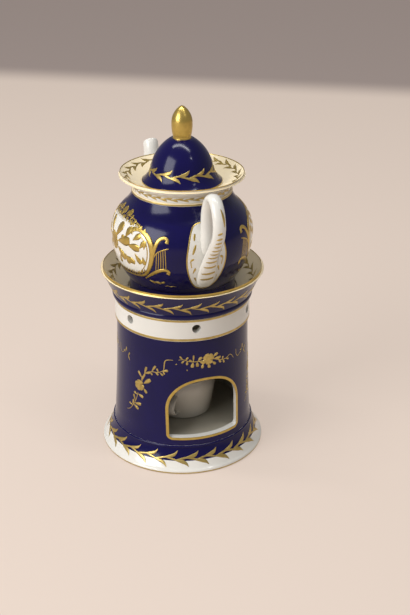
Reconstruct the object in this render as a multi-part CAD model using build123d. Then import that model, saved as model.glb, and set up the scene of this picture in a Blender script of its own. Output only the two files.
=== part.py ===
from build123d import *
import os
from math import atan2, cos, degrees, hypot, radians, sin

# Porcelain veilleuse: a night-light stand that keeps a small pot of tea warm.
# Millimetres, +Z up, origin at the centre of the foot's resting plane.
# The fire door and the pot's handle face -Y, the spout faces +Y.

# Stand: spreading foot
FOOT_RADIUS = 54.0
FOOT_EDGE = 2.9
FOOT_HEIGHT = 17.0
FOOT_WALL = 4.6
FOOT_HOLLOW = 0.4
FOOT_BEAD_HEIGHT = 1.6
FOOT_BEAD_PROJECTION = 0.6

# Stand: barrel, with its fire door, the raised band and the air holes in it
BARREL_BASE_RADIUS = 46.0
BARREL_TOP_RADIUS = 42.6
BARREL_HEIGHT = 88.1
BARREL_WALL = 3.6
BARREL_BASE_WALL = 4.6
FLARE_HEIGHT = 8.0
FLARE_PROJECTION = 1.0
BAND_HEIGHT = 14.7
BAND_PROJECTION = 1.0
DOOR_WIDTH = 46.4
DOOR_HEIGHT = 39.7
DOOR_ARCH_RISE = 20.0
DOOR_CROWN_RADIUS = 40.0
DOOR_CORNER = 2.0
SILL_HEIGHT = 2.3
VENT_COUNT = 6
VENT_DIAMETER = 5.6
VENT_DROP = 6.1
VENT_TURN = -8.5

# Stand: floor of the fire chamber
FLOOR_THICKNESS = 3.0
FLOOR_LEDGE = 2.6
LUTE_GAP = 0.15

# Stand: collar that carries the pot in a flared dish
COLLAR_HEIGHT = 20.1
COLLAR_BEAD_HEIGHT = 3.6
COLLAR_BEAD_PROJECTION = 1.5
DISH_RADIUS = 52.4
DISH_WALL = 3.0
LEDGE_THICKNESS = 3.5
LEDGE_WIDTH = 5.0
WELL_DEPTH = 2.2
WELL_CLEARANCE = 1.2

# Lamp cup, the godet, with its ear handle
CUP_RADIUS = 21.6
CUP_BASE_RADIUS = 18.9
CUP_RIM_RADIUS = 20.0
CUP_HEIGHT = 27.5
CUP_BELLY_HEIGHT = 19.5
CUP_FOOT_ROUND = 2.4
CUP_WALL = 2.1
CUP_HANDLE_TURN = -37.0
CUP_HANDLE_REACH = 8.6
CUP_HANDLE_WIDTH = 6.6
CUP_HANDLE_THICKNESS = 2.8
CUP_HANDLE_LOW = 5.2
CUP_HANDLE_HIGH = 18.6

# Night light that lies in the cup: a cork float, its tin plate and a wick
FLOAT_RADIUS = 10.5
FLOAT_THICKNESS = 4.0
PLATE_RADIUS = 7.0
PLATE_THICKNESS = 0.5
TUBE_RADIUS = 1.9
TUBE_HEIGHT = 3.0
WICK_RADIUS = 1.2
WICK_LENGTH = 7.5
WICK_CLEARANCE = 0.15
FLOAT_CLEARANCE = 0.3

# Pot: foot and body
POT_FOOT_RADIUS = 33.8
POT_FOOT_HEIGHT = 9.9
POT_FOOT_RING = 3.4
POT_FOOT_RECESS = 2.6
POT_WALL = 2.8
POT_FLOOR = 3.0
BELLY_RADIUS = 44.4
BELLY_RISE = 30.0
SHOULDER_RADIUS = 36.7
SHOULDER_RISE = 17.5
NECK_RADIUS = 31.0
NECK_RISE = 8.2

# Pot: neck that opens into a plate round the lid
NECK_BEAD_HEIGHT = 1.7
NECK_WAIST = 1.0
NECK_HEIGHT = 4.8
PLATE_RIM_RADIUS = 39.7
PLATE_RISE = 7.2
PLATE_WALL = 2.2
MOUTH_RADIUS = 23.0
LID_SEAT_WIDTH = 2.6
LID_SEAT_RISE = 6.0

# Pot: spout, strainer behind it, and the ear handle
SPOUT_REACH = 65.8
SPOUT_RISE = 11.0
SPOUT_ROOT_DROP = 5.5
SPOUT_ROOT_RADIUS = 10.5
SPOUT_THROAT_RADIUS = 6.9
SPOUT_TIP_RADIUS = 5.1
SPOUT_TIP_PITCH = 66.0
SPOUT_WALL = 1.7
STRAINER_HOLE = 3.0
STRAINER_PITCH = 4.6
STRAINER_RING = 6
HANDLE_REACH = 65.8
HANDLE_WIDTH = 8.0
HANDLE_THICKNESS = 6.4
HANDLE_LOOP_TOP = 15.0
HANDLE_TAIL_WIDTH = 12.4
HANDLE_TAIL_THICKNESS = 4.4
HANDLE_TAIL_DROP = 22.3

# Lid with its locating flange, and the finial
LID_RADIUS = 24.95
LID_EDGE = 1.2
LID_WAIST_RADIUS = 19.4
LID_WAIST_RISE = 9.3
LID_HEIGHT = 27.3
LID_TOP_RADIUS = 7.2
LID_WALL = 2.6
LID_FLANGE_DEPTH = 5.2
LID_FLANGE_WALL = 2.2
LID_CLEARANCE = 0.6
FINIAL_BASE_RADIUS = 6.0
FINIAL_RADIUS = 6.45
FINIAL_BELLY_RISE = 9.5
FINIAL_HEIGHT = 20.0
FINIAL_TIP_RADIUS = 2.0
FINIAL_CAP_ANGLE = 56.0

# Levels that the pieces share
BARREL_TOP = FOOT_HEIGHT + BARREL_HEIGHT
CHAMBER_FLOOR = FOOT_HEIGHT + FLOOR_THICKNESS
SILL_LEVEL = CHAMBER_FLOOR + SILL_HEIGHT
BARREL_BORE = BARREL_BASE_RADIUS - BARREL_BASE_WALL
POT_SEAT = BARREL_TOP + LEDGE_THICKNESS
POT_BELLY_LEVEL = POT_SEAT + POT_FOOT_HEIGHT + BELLY_RISE
SHOULDER_LEVEL = POT_BELLY_LEVEL + SHOULDER_RISE
NECK_LEVEL = SHOULDER_LEVEL + NECK_RISE
LID_SEAT = NECK_LEVEL + LID_SEAT_RISE
LID_TOP = LID_SEAT + LID_HEIGHT
CUP_INNER_FLOOR = CHAMBER_FLOOR + CUP_WALL
CUP_BORE = CUP_BASE_RADIUS - CUP_WALL


def via(radius, height):
    """Point that an arc of an outline passes through."""
    return ("via", radius, height)


def outline(*steps):
    """Edges of a closed outline through (radius, height) points, bent where a via point stands between two."""
    edges = []
    start = steps[0]
    bend = None
    for step in steps[1:] + steps[:1]:
        if step[0] == "via":
            bend = step[1:]
            continue
        edges.append(ThreePointArc(start, bend, step) if bend else Line(start, step))
        start = step
        bend = None
    return edges


def turned(edges):
    """Solid thrown on the wheel: a closed outline turned about the vertical axis."""
    return revolve(Plane.XZ * make_face(edges), Axis.Z)


def stand_foot():
    """Hollow spreading foot, with a small bead where the barrel starts and a ledge inside for the floor."""
    bead_low = FOOT_HEIGHT - FOOT_BEAD_HEIGHT
    ledge_radius = BARREL_BORE - FLOOR_LEDGE
    bead_radius = BARREL_BASE_RADIUS + FOOT_BEAD_PROJECTION
    flank_radius = FOOT_RADIUS - 0.5 * FOOT_EDGE
    return turned(outline(
        (FOOT_RADIUS - FOOT_WALL, 0.0),
        (FOOT_RADIUS - 0.3 * FOOT_EDGE, 0.0),
        via(FOOT_RADIUS, 0.4 * FOOT_EDGE),
        (FOOT_RADIUS - 0.3 * FOOT_EDGE, FOOT_EDGE),
        (flank_radius, 1.07 * FOOT_EDGE),
        via(0.62 * bead_radius + 0.38 * flank_radius - FOOT_HOLLOW, 0.5 * (FOOT_EDGE + bead_low)),
        (bead_radius - 0.3 * FOOT_BEAD_PROJECTION, bead_low),
        via(bead_radius + 0.5 * FOOT_BEAD_PROJECTION, FOOT_HEIGHT - 0.5 * FOOT_BEAD_HEIGHT),
        (bead_radius - 0.8 * FOOT_BEAD_PROJECTION, FOOT_HEIGHT),
        (ledge_radius, FOOT_HEIGHT),
        (ledge_radius, FOOT_HEIGHT - FOOT_WALL),
        via(0.5 * (ledge_radius + FOOT_RADIUS) - 0.76 * FOOT_WALL, 0.5 * FOOT_HEIGHT - 0.63 * FOOT_WALL),
    ))


def door_outline(grow=0.0):
    """Opening with upright sides and a three-centred arch, drawn in (across, height)."""
    half = 0.5 * DOOR_WIDTH + grow
    crown = SILL_LEVEL + DOOR_HEIGHT + grow
    spring = SILL_LEVEL + DOOR_HEIGHT - DOOR_ARCH_RISE
    rise = crown - spring
    big = DOOR_CROWN_RADIUS + grow
    small = (2 * big * rise - rise ** 2 - half ** 2) / (2 * (big - half))
    lean = hypot(half - small, spring - (crown - big))
    across = (half - small) / lean
    up = (spring - (crown - big)) / lean
    haunch = (big * across, crown - big + big * up)
    knee = radians(0.5 * degrees(atan2(up, across)))
    middle = (half - small + small * cos(knee), spring + small * sin(knee))
    sill = SILL_LEVEL - grow
    edges = [
        Line((-half, sill), (half, sill)),
        Line((half, sill), (half, spring)),
        ThreePointArc((half, spring), middle, haunch),
        ThreePointArc(haunch, (0, crown), (-haunch[0], haunch[1])),
        ThreePointArc((-haunch[0], haunch[1]), (-middle[0], middle[1]), (-half, spring)),
        Line((-half, spring), (-half, sill)),
    ]
    face = make_face(edges)
    return fillet(face.vertices().group_by(Axis.Y)[0], DOOR_CORNER + grow)


def stand_barrel():
    """Slightly tapered barrel with a raised band at its head, a fire door and a ring of air holes."""
    flare_top = FOOT_HEIGHT + FLARE_HEIGHT
    band_low = BARREL_TOP - BAND_HEIGHT
    band_radius = BARREL_TOP_RADIUS + BAND_PROJECTION
    waist = BARREL_BASE_RADIUS - FLARE_PROJECTION
    wall = turned(outline(
        (BARREL_BORE, FOOT_HEIGHT),
        (BARREL_BASE_RADIUS, FOOT_HEIGHT),
        via(waist + 0.3 * FLARE_PROJECTION, FOOT_HEIGHT + 0.5 * FLARE_HEIGHT),
        (waist, flare_top),
        via(0.35 * waist + 0.65 * BARREL_TOP_RADIUS, 0.52 * flare_top + 0.48 * band_low),
        (BARREL_TOP_RADIUS, band_low - BAND_PROJECTION),
        (band_radius, band_low),
        (band_radius, BARREL_TOP),
        (BARREL_TOP_RADIUS - BARREL_WALL, BARREL_TOP),
        (BARREL_TOP_RADIUS - BARREL_WALL, band_low),
    ))
    way_out = Plane.XZ.offset(0.5 * BARREL_TOP_RADIUS)
    wall -= extrude(way_out * door_outline(), BARREL_BASE_RADIUS)
    vent_level = BARREL_TOP - VENT_DROP
    vent = Pos(0, -BARREL_TOP_RADIUS, vent_level) * Rot(90, 0, 0) * Cylinder(0.5 * VENT_DIAMETER, 4 * BARREL_WALL)
    for number in range(VENT_COUNT):
        wall -= Rot(0, 0, VENT_TURN + number * 360.0 / VENT_COUNT) * vent
    return wall


def stand_floor():
    """Round slab between foot and barrel, the floor of the fire chamber."""
    slab = Cylinder(BARREL_BORE - LUTE_GAP, FLOOR_THICKNESS, align=(Align.CENTER, Align.CENTER, Align.MIN))
    return Pos(0, 0, FOOT_HEIGHT) * slab


def stand_collar():
    """Collar on the barrel: a bead, a flared dish, and an inner ledge with the pot's shallow well."""
    top = BARREL_TOP + COLLAR_HEIGHT
    seam = BARREL_TOP_RADIUS + BAND_PROJECTION
    bead_top = BARREL_TOP + COLLAR_BEAD_HEIGHT
    well = POT_FOOT_RADIUS + WELL_CLEARANCE
    ledge = well - LEDGE_WIDTH
    neck = seam + 0.75 * COLLAR_BEAD_PROJECTION
    inner_rim = DISH_RADIUS - 0.62 * DISH_WALL
    return turned(outline(
        (ledge, BARREL_TOP),
        (seam, BARREL_TOP),
        via(seam + COLLAR_BEAD_PROJECTION, 0.5 * (BARREL_TOP + bead_top)),
        (neck, bead_top),
        via(0.53 * neck + 0.47 * DISH_RADIUS, 0.54 * bead_top + 0.46 * top),
        (DISH_RADIUS - 0.1 * DISH_WALL, top - 0.6 * DISH_WALL),
        via(DISH_RADIUS - 0.22 * DISH_WALL, top),
        (inner_rim, top - 0.2 * DISH_WALL),
        via(0.5 * (inner_rim + well) + 0.4 * DISH_WALL,
            0.5 * (top + POT_SEAT + WELL_DEPTH) - 0.6 * DISH_WALL),
        (well + 0.4 * DISH_WALL, POT_SEAT + WELL_DEPTH),
        (well, POT_SEAT + 0.7 * WELL_DEPTH),
        (well, POT_SEAT),
        (ledge, POT_SEAT),
    ))


def cup_outer():
    """Outer outline of the lamp cup, from the centre of its base up to the rim's round."""
    base = CHAMBER_FLOOR
    belly = base + CUP_BELLY_HEIGHT
    top = base + CUP_HEIGHT
    return [
        (0.0, base),
        (CUP_BASE_RADIUS - CUP_FOOT_ROUND, base),
        via(CUP_BASE_RADIUS - 0.3 * CUP_FOOT_ROUND, base + 0.3 * CUP_FOOT_ROUND),
        (CUP_BASE_RADIUS, base + CUP_FOOT_ROUND),
        via(0.45 * CUP_BASE_RADIUS + 0.55 * CUP_RADIUS, base + 0.55 * CUP_BELLY_HEIGHT),
        (CUP_RADIUS, belly),
        via(0.24 * CUP_RIM_RADIUS + 0.76 * CUP_RADIUS, 0.5 * (belly + top)),
        (CUP_RIM_RADIUS, top - 0.5 * CUP_WALL),
    ]


def godet_cup():
    """Bombe lamp cup that holds the oil and the floating night light."""
    belly = CHAMBER_FLOOR + CUP_BELLY_HEIGHT
    top = CHAMBER_FLOOR + CUP_HEIGHT
    half = 0.5 * CUP_WALL
    return turned(outline(
        *cup_outer(),
        via(CUP_RIM_RADIUS - half, top),
        (CUP_RIM_RADIUS - CUP_WALL, top - half),
        via(0.24 * CUP_RIM_RADIUS + 0.76 * CUP_RADIUS - CUP_WALL, 0.5 * (belly + top)),
        (CUP_RADIUS - CUP_WALL, belly),
        (CUP_BORE, CUP_INNER_FLOOR + CUP_FOOT_ROUND),
        via(CUP_BORE - 0.3 * CUP_FOOT_ROUND, CUP_INNER_FLOOR + 0.3 * CUP_FOOT_ROUND),
        (CUP_BORE - CUP_FOOT_ROUND, CUP_INNER_FLOOR),
        (0.0, CUP_INNER_FLOOR),
    ))


def godet_handle():
    """Small ear handle luted to the side of the lamp cup."""
    sunk = 0.5 * CUP_WALL
    low = (CUP_BASE_RADIUS - sunk, CHAMBER_FLOOR + CUP_HANDLE_LOW)
    high = (CUP_RADIUS - sunk, CHAMBER_FLOOR + CUP_HANDLE_HIGH)
    reach = (CUP_RADIUS + CUP_HANDLE_REACH - 0.5 * CUP_HANDLE_THICKNESS, 0.48 * low[1] + 0.52 * high[1])
    path = Plane.XZ * ThreePointArc(low, reach, high)
    section = Plane(path @ 0, x_dir=(0, 1, 0), z_dir=path % 0)
    ear = sweep(section * Ellipse(0.5 * CUP_HANDLE_WIDTH, 0.5 * CUP_HANDLE_THICKNESS), path)
    core = turned(outline(*cup_outer(), (0.0, CHAMBER_FLOOR + CUP_HEIGHT - 0.5 * CUP_WALL)))
    return Rot(0, 0, CUP_HANDLE_TURN - 90.0) * (ear - Rot(0, 0, 90) * core)


def float_cork():
    """Cork disc that carries the night light on the oil."""
    disc = Cylinder(FLOAT_RADIUS, FLOAT_THICKNESS, align=(Align.CENTER, Align.CENTER, Align.MIN))
    bore = Cylinder(TUBE_RADIUS + FLOAT_CLEARANCE, 3 * FLOAT_THICKNESS)
    return Pos(0, 0, CUP_INNER_FLOOR) * (disc - bore)


def float_plate():
    """Tin plate with the short tube that grips the wick and goes down through the cork."""
    seat = CUP_INNER_FLOOR + FLOAT_THICKNESS
    rise = TUBE_HEIGHT - PLATE_THICKNESS
    return turned(outline(
        (WICK_RADIUS + WICK_CLEARANCE, seat + rise),
        (WICK_RADIUS + WICK_CLEARANCE, seat - rise),
        (TUBE_RADIUS, seat - rise),
        (TUBE_RADIUS, seat),
        (PLATE_RADIUS, seat),
        (PLATE_RADIUS, seat + PLATE_THICKNESS),
        (TUBE_RADIUS, seat + PLATE_THICKNESS),
        (TUBE_RADIUS, seat + rise),
    ))


def float_wick():
    """Waxed cotton wick held in the tin tube."""
    foot = CUP_INNER_FLOOR + FLOAT_THICKNESS - TUBE_HEIGHT + PLATE_THICKNESS
    wick = Cylinder(WICK_RADIUS, WICK_LENGTH, align=(Align.CENTER, Align.CENTER, Align.MIN))
    return Pos(0, 0, foot) * wick


def pot_profile(wall):
    """Side of the pot from foot to neck, drawn in by a wall thickness: three arcs that run into each other."""
    foot_top = (POT_FOOT_RADIUS - wall, POT_SEAT + POT_FOOT_HEIGHT)
    belly = (BELLY_RADIUS - wall, POT_BELLY_LEVEL)
    shoulder = (SHOULDER_RADIUS - 0.76 * wall, SHOULDER_LEVEL - 0.65 * wall)
    neck = (NECK_RADIUS - wall, NECK_LEVEL)
    lower = TangentArc(belly, foot_top, tangent=(0, -1))
    upper = TangentArc(belly, shoulder, tangent=(0, 1))
    cove = TangentArc(shoulder, neck, tangent=upper % 1)
    return [lower, upper, cove]


def pot_core():
    """The pot's outer shape as a solid lump, which its fittings are cut to."""
    foot = (POT_FOOT_RADIUS, POT_SEAT)
    return turned(pot_profile(0.0) + [
        Line((NECK_RADIUS, NECK_LEVEL), (0, NECK_LEVEL)),
        Line((0, NECK_LEVEL), (0, POT_SEAT)),
        Line((0, POT_SEAT), foot),
        Line(foot, (POT_FOOT_RADIUS, POT_SEAT + POT_FOOT_HEIGHT)),
    ])


def strainer_holes():
    """Drills for the pierced strainer in the wall behind the spout: one hole in a ring of others."""
    level = POT_BELLY_LEVEL - SPOUT_ROOT_DROP
    drill = Pos(0, BELLY_RADIUS, level) * Rot(90, 0, 0) * Cylinder(0.5 * STRAINER_HOLE, 6 * POT_WALL)
    drills = [drill]
    for number in range(STRAINER_RING):
        turn = radians(number * 360.0 / STRAINER_RING)
        drills.append(Pos(STRAINER_PITCH * cos(turn), 0, STRAINER_PITCH * sin(turn)) * drill)
    return drills


def pot_foot():
    """Turned foot ring with the floor of the pot in it; the underside is recessed so that only the ring stands."""
    recess = POT_FOOT_RADIUS - POT_FOOT_RING
    inside = POT_FOOT_RADIUS - POT_WALL
    underside = POT_SEAT + POT_FOOT_RECESS
    floor = underside + POT_FLOOR
    top = POT_SEAT + POT_FOOT_HEIGHT
    return turned(outline(
        (0.0, underside),
        (recess, underside),
        (recess, POT_SEAT),
        (POT_FOOT_RADIUS, POT_SEAT),
        (POT_FOOT_RADIUS, top),
        (inside, top),
        (inside, floor),
        (0.0, floor),
    ))


def pot_body():
    """Round belly of the pot, luted on its foot, with the strainer pierced in the wall behind the spout."""
    foot_top = POT_SEAT + POT_FOOT_HEIGHT
    body = turned(pot_profile(0.0) + pot_profile(POT_WALL) + [
        Line((NECK_RADIUS, NECK_LEVEL), (NECK_RADIUS - POT_WALL, NECK_LEVEL)),
        Line((POT_FOOT_RADIUS - POT_WALL, foot_top), (POT_FOOT_RADIUS, foot_top)),
    ])
    for drill in strainer_holes():
        body -= drill
    return body


def pot_neck():
    """Neck with a bead at its foot, opening into a plate whose middle is the lid's seat."""
    waist = NECK_RADIUS - NECK_WAIST
    bead_top = NECK_LEVEL + NECK_BEAD_HEIGHT
    flare = NECK_LEVEL + NECK_HEIGHT
    rim = LID_SEAT + PLATE_RISE - 0.3 * PLATE_WALL
    seat_edge = MOUTH_RADIUS + LID_SEAT_WIDTH
    under_rim = rim - 0.8 * PLATE_WALL
    return turned(outline(
        (MOUTH_RADIUS, NECK_LEVEL),
        (NECK_RADIUS, NECK_LEVEL),
        via(NECK_RADIUS + 0.3 * NECK_WAIST, NECK_LEVEL + 0.5 * NECK_BEAD_HEIGHT),
        (waist, bead_top),
        (waist, flare),
        via(0.6 * waist + 0.4 * PLATE_RIM_RADIUS, 0.56 * flare + 0.44 * under_rim),
        (PLATE_RIM_RADIUS - 0.3 * PLATE_WALL, under_rim),
        via(PLATE_RIM_RADIUS, rim - 0.2 * PLATE_WALL),
        (PLATE_RIM_RADIUS - 0.6 * PLATE_WALL, rim),
        via(0.5 * (seat_edge + PLATE_RIM_RADIUS - PLATE_WALL), 0.54 * LID_SEAT + 0.46 * rim - 0.27 * PLATE_WALL),
        (seat_edge, LID_SEAT + 0.1 * PLATE_WALL),
        (seat_edge, LID_SEAT),
        (MOUTH_RADIUS, LID_SEAT),
    ))


def spout_sections(inset):
    """Rings of the spout from its root in the belly to the lip, each drawn in by the wall thickness."""
    start = BELLY_RADIUS - 2 * POT_WALL
    span = SPOUT_REACH - SPOUT_TIP_RADIUS * sin(radians(SPOUT_TIP_PITCH)) - start
    root = POT_BELLY_LEVEL - SPOUT_ROOT_DROP
    rise = LID_SEAT + SPOUT_RISE - SPOUT_TIP_RADIUS * cos(radians(SPOUT_TIP_PITCH)) - root
    narrowing = SPOUT_THROAT_RADIUS - SPOUT_TIP_RADIUS
    swell = SPOUT_ROOT_RADIUS - SPOUT_THROAT_RADIUS
    rings = (
        (0.0, 0.0, 8.0, SPOUT_ROOT_RADIUS),
        (0.40, 0.07, 36.0, SPOUT_THROAT_RADIUS + 0.7 * swell),
        (0.68, 0.26, 68.0, SPOUT_THROAT_RADIUS + 0.15 * swell),
        (0.80, 0.50, 80.0, SPOUT_TIP_RADIUS + 0.65 * narrowing),
        (0.88, 0.75, 79.0, SPOUT_TIP_RADIUS + 0.2 * narrowing),
        (1.0, 1.0, SPOUT_TIP_PITCH, SPOUT_TIP_RADIUS),
    )
    faces = []
    for along, up, pitch, radius in rings:
        lean = radians(pitch)
        middle = (0, start + along * span, root + up * rise)
        plane = Plane(middle, x_dir=(1, 0, 0), z_dir=(0, cos(lean), sin(lean)))
        faces.append(plane * Circle(radius - inset))
    return faces


def pot_spout():
    """Swan-necked spout, hollow all the way, luted over the strainer."""
    outer = loft(spout_sections(0.0))
    bore = loft(spout_sections(SPOUT_WALL))
    lip = spout_sections(SPOUT_WALL)[-1]
    bore += extrude(lip, SPOUT_WALL)
    return outer - bore - pot_core()


def handle_sections():
    """Stations of the ear handle from the shoulder over the loop to the tail on the belly.

    Each is (outward, height, pitch, width, thickness)."""
    width = HANDLE_WIDTH
    thick = HANDLE_THICKNESS
    broad = HANDLE_TAIL_WIDTH
    flat = HANDLE_TAIL_THICKNESS
    root = SHOULDER_RADIUS + 0.25 * thick
    span = HANDLE_REACH - 0.5 * thick - root
    top = NECK_LEVEL + HANDLE_LOOP_TOP - 0.5 * thick
    bend = SHOULDER_LEVEL + 4.5
    belly = POT_BELLY_LEVEL
    limb = root + 0.75 * span
    landing = BELLY_RADIUS + 0.5 * thick
    return (
        (SHOULDER_RADIUS, SHOULDER_LEVEL - 8.0, 84.0, width, thick),
        (root + 0.11 * span, NECK_LEVEL - 1.7, 72.0, width, thick),
        (root + 0.26 * span, top - 6.0, 55.0, width, thick),
        (root + 0.63 * span, top, -6.0, width, thick),
        (root + 0.79 * span, top - 3.0, -48.0, width, thick),
        (root + span, bend, -90.0, width, thick),
        (limb, bend - 12.8, -127.0, width, thick),
        (0.46 * limb + 0.54 * landing, belly + 2.5, -122.0, width, thick),
        (landing, belly - 4.7, -117.0, 0.6 * width + 0.4 * broad, thick),
        (BELLY_RADIUS - 0.2, belly - 0.53 * HANDLE_TAIL_DROP, -118.0, broad, 0.4 * thick + 0.6 * flat),
        (BELLY_RADIUS - flat, belly - HANDLE_TAIL_DROP, -118.0, 0.62 * broad, flat),
    )


def pot_handle():
    """Ear handle: springs from the shoulder, curls over and runs down into a flattened tail on the belly."""
    faces = []
    for outward, height, pitch, width, thickness in handle_sections():
        lean = radians(pitch)
        plane = Plane((0, -outward, height), x_dir=(1, 0, 0), z_dir=(0, -cos(lean), sin(lean)))
        faces.append(plane * Ellipse(0.5 * width, 0.5 * thickness))
    return loft(faces) - pot_core()


def lid_dome():
    """Bell-shaped lid with a flat edge."""
    edge = LID_SEAT + LID_EDGE
    waist = LID_SEAT + LID_WAIST_RISE
    flange_bore = MOUTH_RADIUS - LID_CLEARANCE - LID_FLANGE_WALL
    inner_top = LID_TOP - LID_WALL
    return turned(outline(
        (flange_bore, LID_SEAT),
        (LID_RADIUS - 0.3 * LID_EDGE, LID_SEAT),
        via(LID_RADIUS, LID_SEAT + 0.5 * LID_EDGE),
        (LID_RADIUS - 0.4 * LID_EDGE, edge),
        via(0.6 * LID_WAIST_RADIUS + 0.4 * LID_RADIUS - 0.29 * LID_WALL, 0.44 * edge + 0.56 * waist),
        (LID_WAIST_RADIUS, waist),
        via(0.73 * LID_WAIST_RADIUS + 0.27 * LID_TOP_RADIUS, 0.51 * waist + 0.49 * LID_TOP),
        (LID_TOP_RADIUS, LID_TOP),
        (0.0, LID_TOP),
        (0.0, inner_top),
        (LID_TOP_RADIUS - 0.5 * LID_WALL, inner_top),
        via(0.73 * LID_WAIST_RADIUS + 0.27 * LID_TOP_RADIUS - 0.8 * LID_WALL,
            0.51 * waist + 0.49 * LID_TOP - 0.5 * LID_WALL),
        (LID_WAIST_RADIUS - LID_WALL, waist),
    ))


def lid_flange():
    """Locating flange under the lid, which keeps it in the pot's mouth."""
    flange = MOUTH_RADIUS - LID_CLEARANCE
    bore = flange - LID_FLANGE_WALL
    low = LID_SEAT - LID_FLANGE_DEPTH
    return turned(outline((bore, low), (flange, low), (flange, LID_SEAT), (bore, LID_SEAT)))


def lid_finial():
    """Acorn-shaped finial that the lid is lifted by."""
    belly = LID_TOP + FINIAL_BELLY_RISE
    tip = LID_TOP + FINIAL_HEIGHT
    centre = tip - FINIAL_TIP_RADIUS
    cap = radians(FINIAL_CAP_ANGLE)
    edge = (FINIAL_TIP_RADIUS * sin(cap), centre + FINIAL_TIP_RADIUS * cos(cap))
    return turned(outline(
        (0.0, LID_TOP),
        (FINIAL_BASE_RADIUS, LID_TOP),
        via(0.6 * FINIAL_BASE_RADIUS + 0.4 * FINIAL_RADIUS, LID_TOP + 0.5 * FINIAL_BELLY_RISE),
        (FINIAL_RADIUS, belly),
        via(0.635 * FINIAL_RADIUS + 0.45 * edge[0], 0.5 * (belly + edge[1])),
        edge,
        via(FINIAL_TIP_RADIUS * sin(0.5 * cap), centre + FINIAL_TIP_RADIUS * cos(0.5 * cap)),
        (0.0, tip),
    ))


PIECES = {
    "stand_foot": stand_foot,
    "stand_barrel": stand_barrel,
    "stand_floor": stand_floor,
    "stand_collar": stand_collar,
    "godet_cup": godet_cup,
    "godet_handle": godet_handle,
    "float_cork": float_cork,
    "float_plate": float_plate,
    "float_wick": float_wick,
    "pot_foot": pot_foot,
    "pot_body": pot_body,
    "pot_neck": pot_neck,
    "pot_spout": pot_spout,
    "pot_handle": pot_handle,
    "lid_dome": lid_dome,
    "lid_flange": lid_flange,
    "lid_finial": lid_finial,
}

os.makedirs("parts", exist_ok=True)
for name, make in PIECES.items():
    export_step(make(), f"parts/{name}.step")
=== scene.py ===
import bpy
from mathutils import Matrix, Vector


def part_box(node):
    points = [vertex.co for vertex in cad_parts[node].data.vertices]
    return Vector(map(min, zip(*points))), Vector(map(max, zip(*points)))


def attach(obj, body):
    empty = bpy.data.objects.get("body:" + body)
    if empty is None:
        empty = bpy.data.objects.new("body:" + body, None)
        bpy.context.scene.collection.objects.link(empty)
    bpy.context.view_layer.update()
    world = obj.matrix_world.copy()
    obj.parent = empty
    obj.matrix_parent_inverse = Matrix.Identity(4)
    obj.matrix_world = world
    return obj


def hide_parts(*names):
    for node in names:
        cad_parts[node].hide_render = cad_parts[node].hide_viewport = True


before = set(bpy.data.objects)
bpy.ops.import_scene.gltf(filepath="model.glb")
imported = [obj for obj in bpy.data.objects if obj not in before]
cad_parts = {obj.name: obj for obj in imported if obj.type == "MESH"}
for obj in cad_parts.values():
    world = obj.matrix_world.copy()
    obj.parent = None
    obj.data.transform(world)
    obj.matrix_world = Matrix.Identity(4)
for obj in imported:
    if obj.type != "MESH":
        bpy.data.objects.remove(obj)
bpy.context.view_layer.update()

import cmath
from bisect import bisect
from math import atan2, cos, hypot, pi, radians, sin, sqrt
from random import Random

import bpy
from mathutils import Matrix, Vector

MM = 0.001

# The photographer's camera: about 0.65 m from the ware and 0.4 m above the table, with the fire door
# and the pot's handle turned 20 degrees to the right of it.
camera_turn = radians(20.0)
camera_away = 655.3 * MM
camera_height = 402.0 * MM
camera_yaw = radians(1.36)
camera_pitch = radians(25.21)
bpy.ops.object.camera_add(
    location=(-camera_away * sin(camera_turn), -camera_away * cos(camera_turn), camera_height),
    rotation=(pi / 2 - camera_pitch, 0.0, -(camera_turn + camera_yaw)))
camera = bpy.context.object
camera.name = "camera"
camera.rotation_euler = (camera.rotation_euler.to_matrix() @ Matrix.Rotation(radians(0.45), 3, "Z")).to_euler()
camera.data.shift_x = -0.0021
camera.data.lens = 65.1
camera.data.sensor_width = 36.0
camera.data.clip_start = 0.01
camera.data.clip_end = 20.0
bpy.context.scene.camera = camera
bpy.context.scene.view_settings.view_transform = "Standard"


# Paper-covered table: one flat plane of pale pinkish beige paper. Its far part is painted greyer and darker, with a
# soft edge between them, as painted shade of the dimmer back of the room.
def linear(hex_colour):
    """Linear colour of an sRGB hex value."""
    parts = [int(hex_colour[i:i + 2], 16) / 255 for i in (1, 3, 5)]
    return [c / 12.92 if c <= 0.04045 else ((c + 0.055) / 1.055) ** 2.4 for c in parts] + [1.0]


def add(tree, kind, inputs, **settings):
    """Adds a node, with its settings, and its inputs as values or as sockets to link from."""
    node = tree.nodes.new(kind)
    for name, value in settings.items():
        setattr(node, name, value)
    for name, value in inputs.items():
        if isinstance(value, bpy.types.NodeSocket):
            tree.links.new(value, node.inputs[name])
        else:
            node.inputs[name].default_value = value
    return node


def new_material(name):
    """Empty node material with its output node, ready for a shader."""
    material = bpy.data.materials.new(name)
    material.use_nodes = True
    tree = material.node_tree
    tree.nodes.clear()
    return material, tree, tree.nodes.new("ShaderNodeOutputMaterial")


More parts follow.
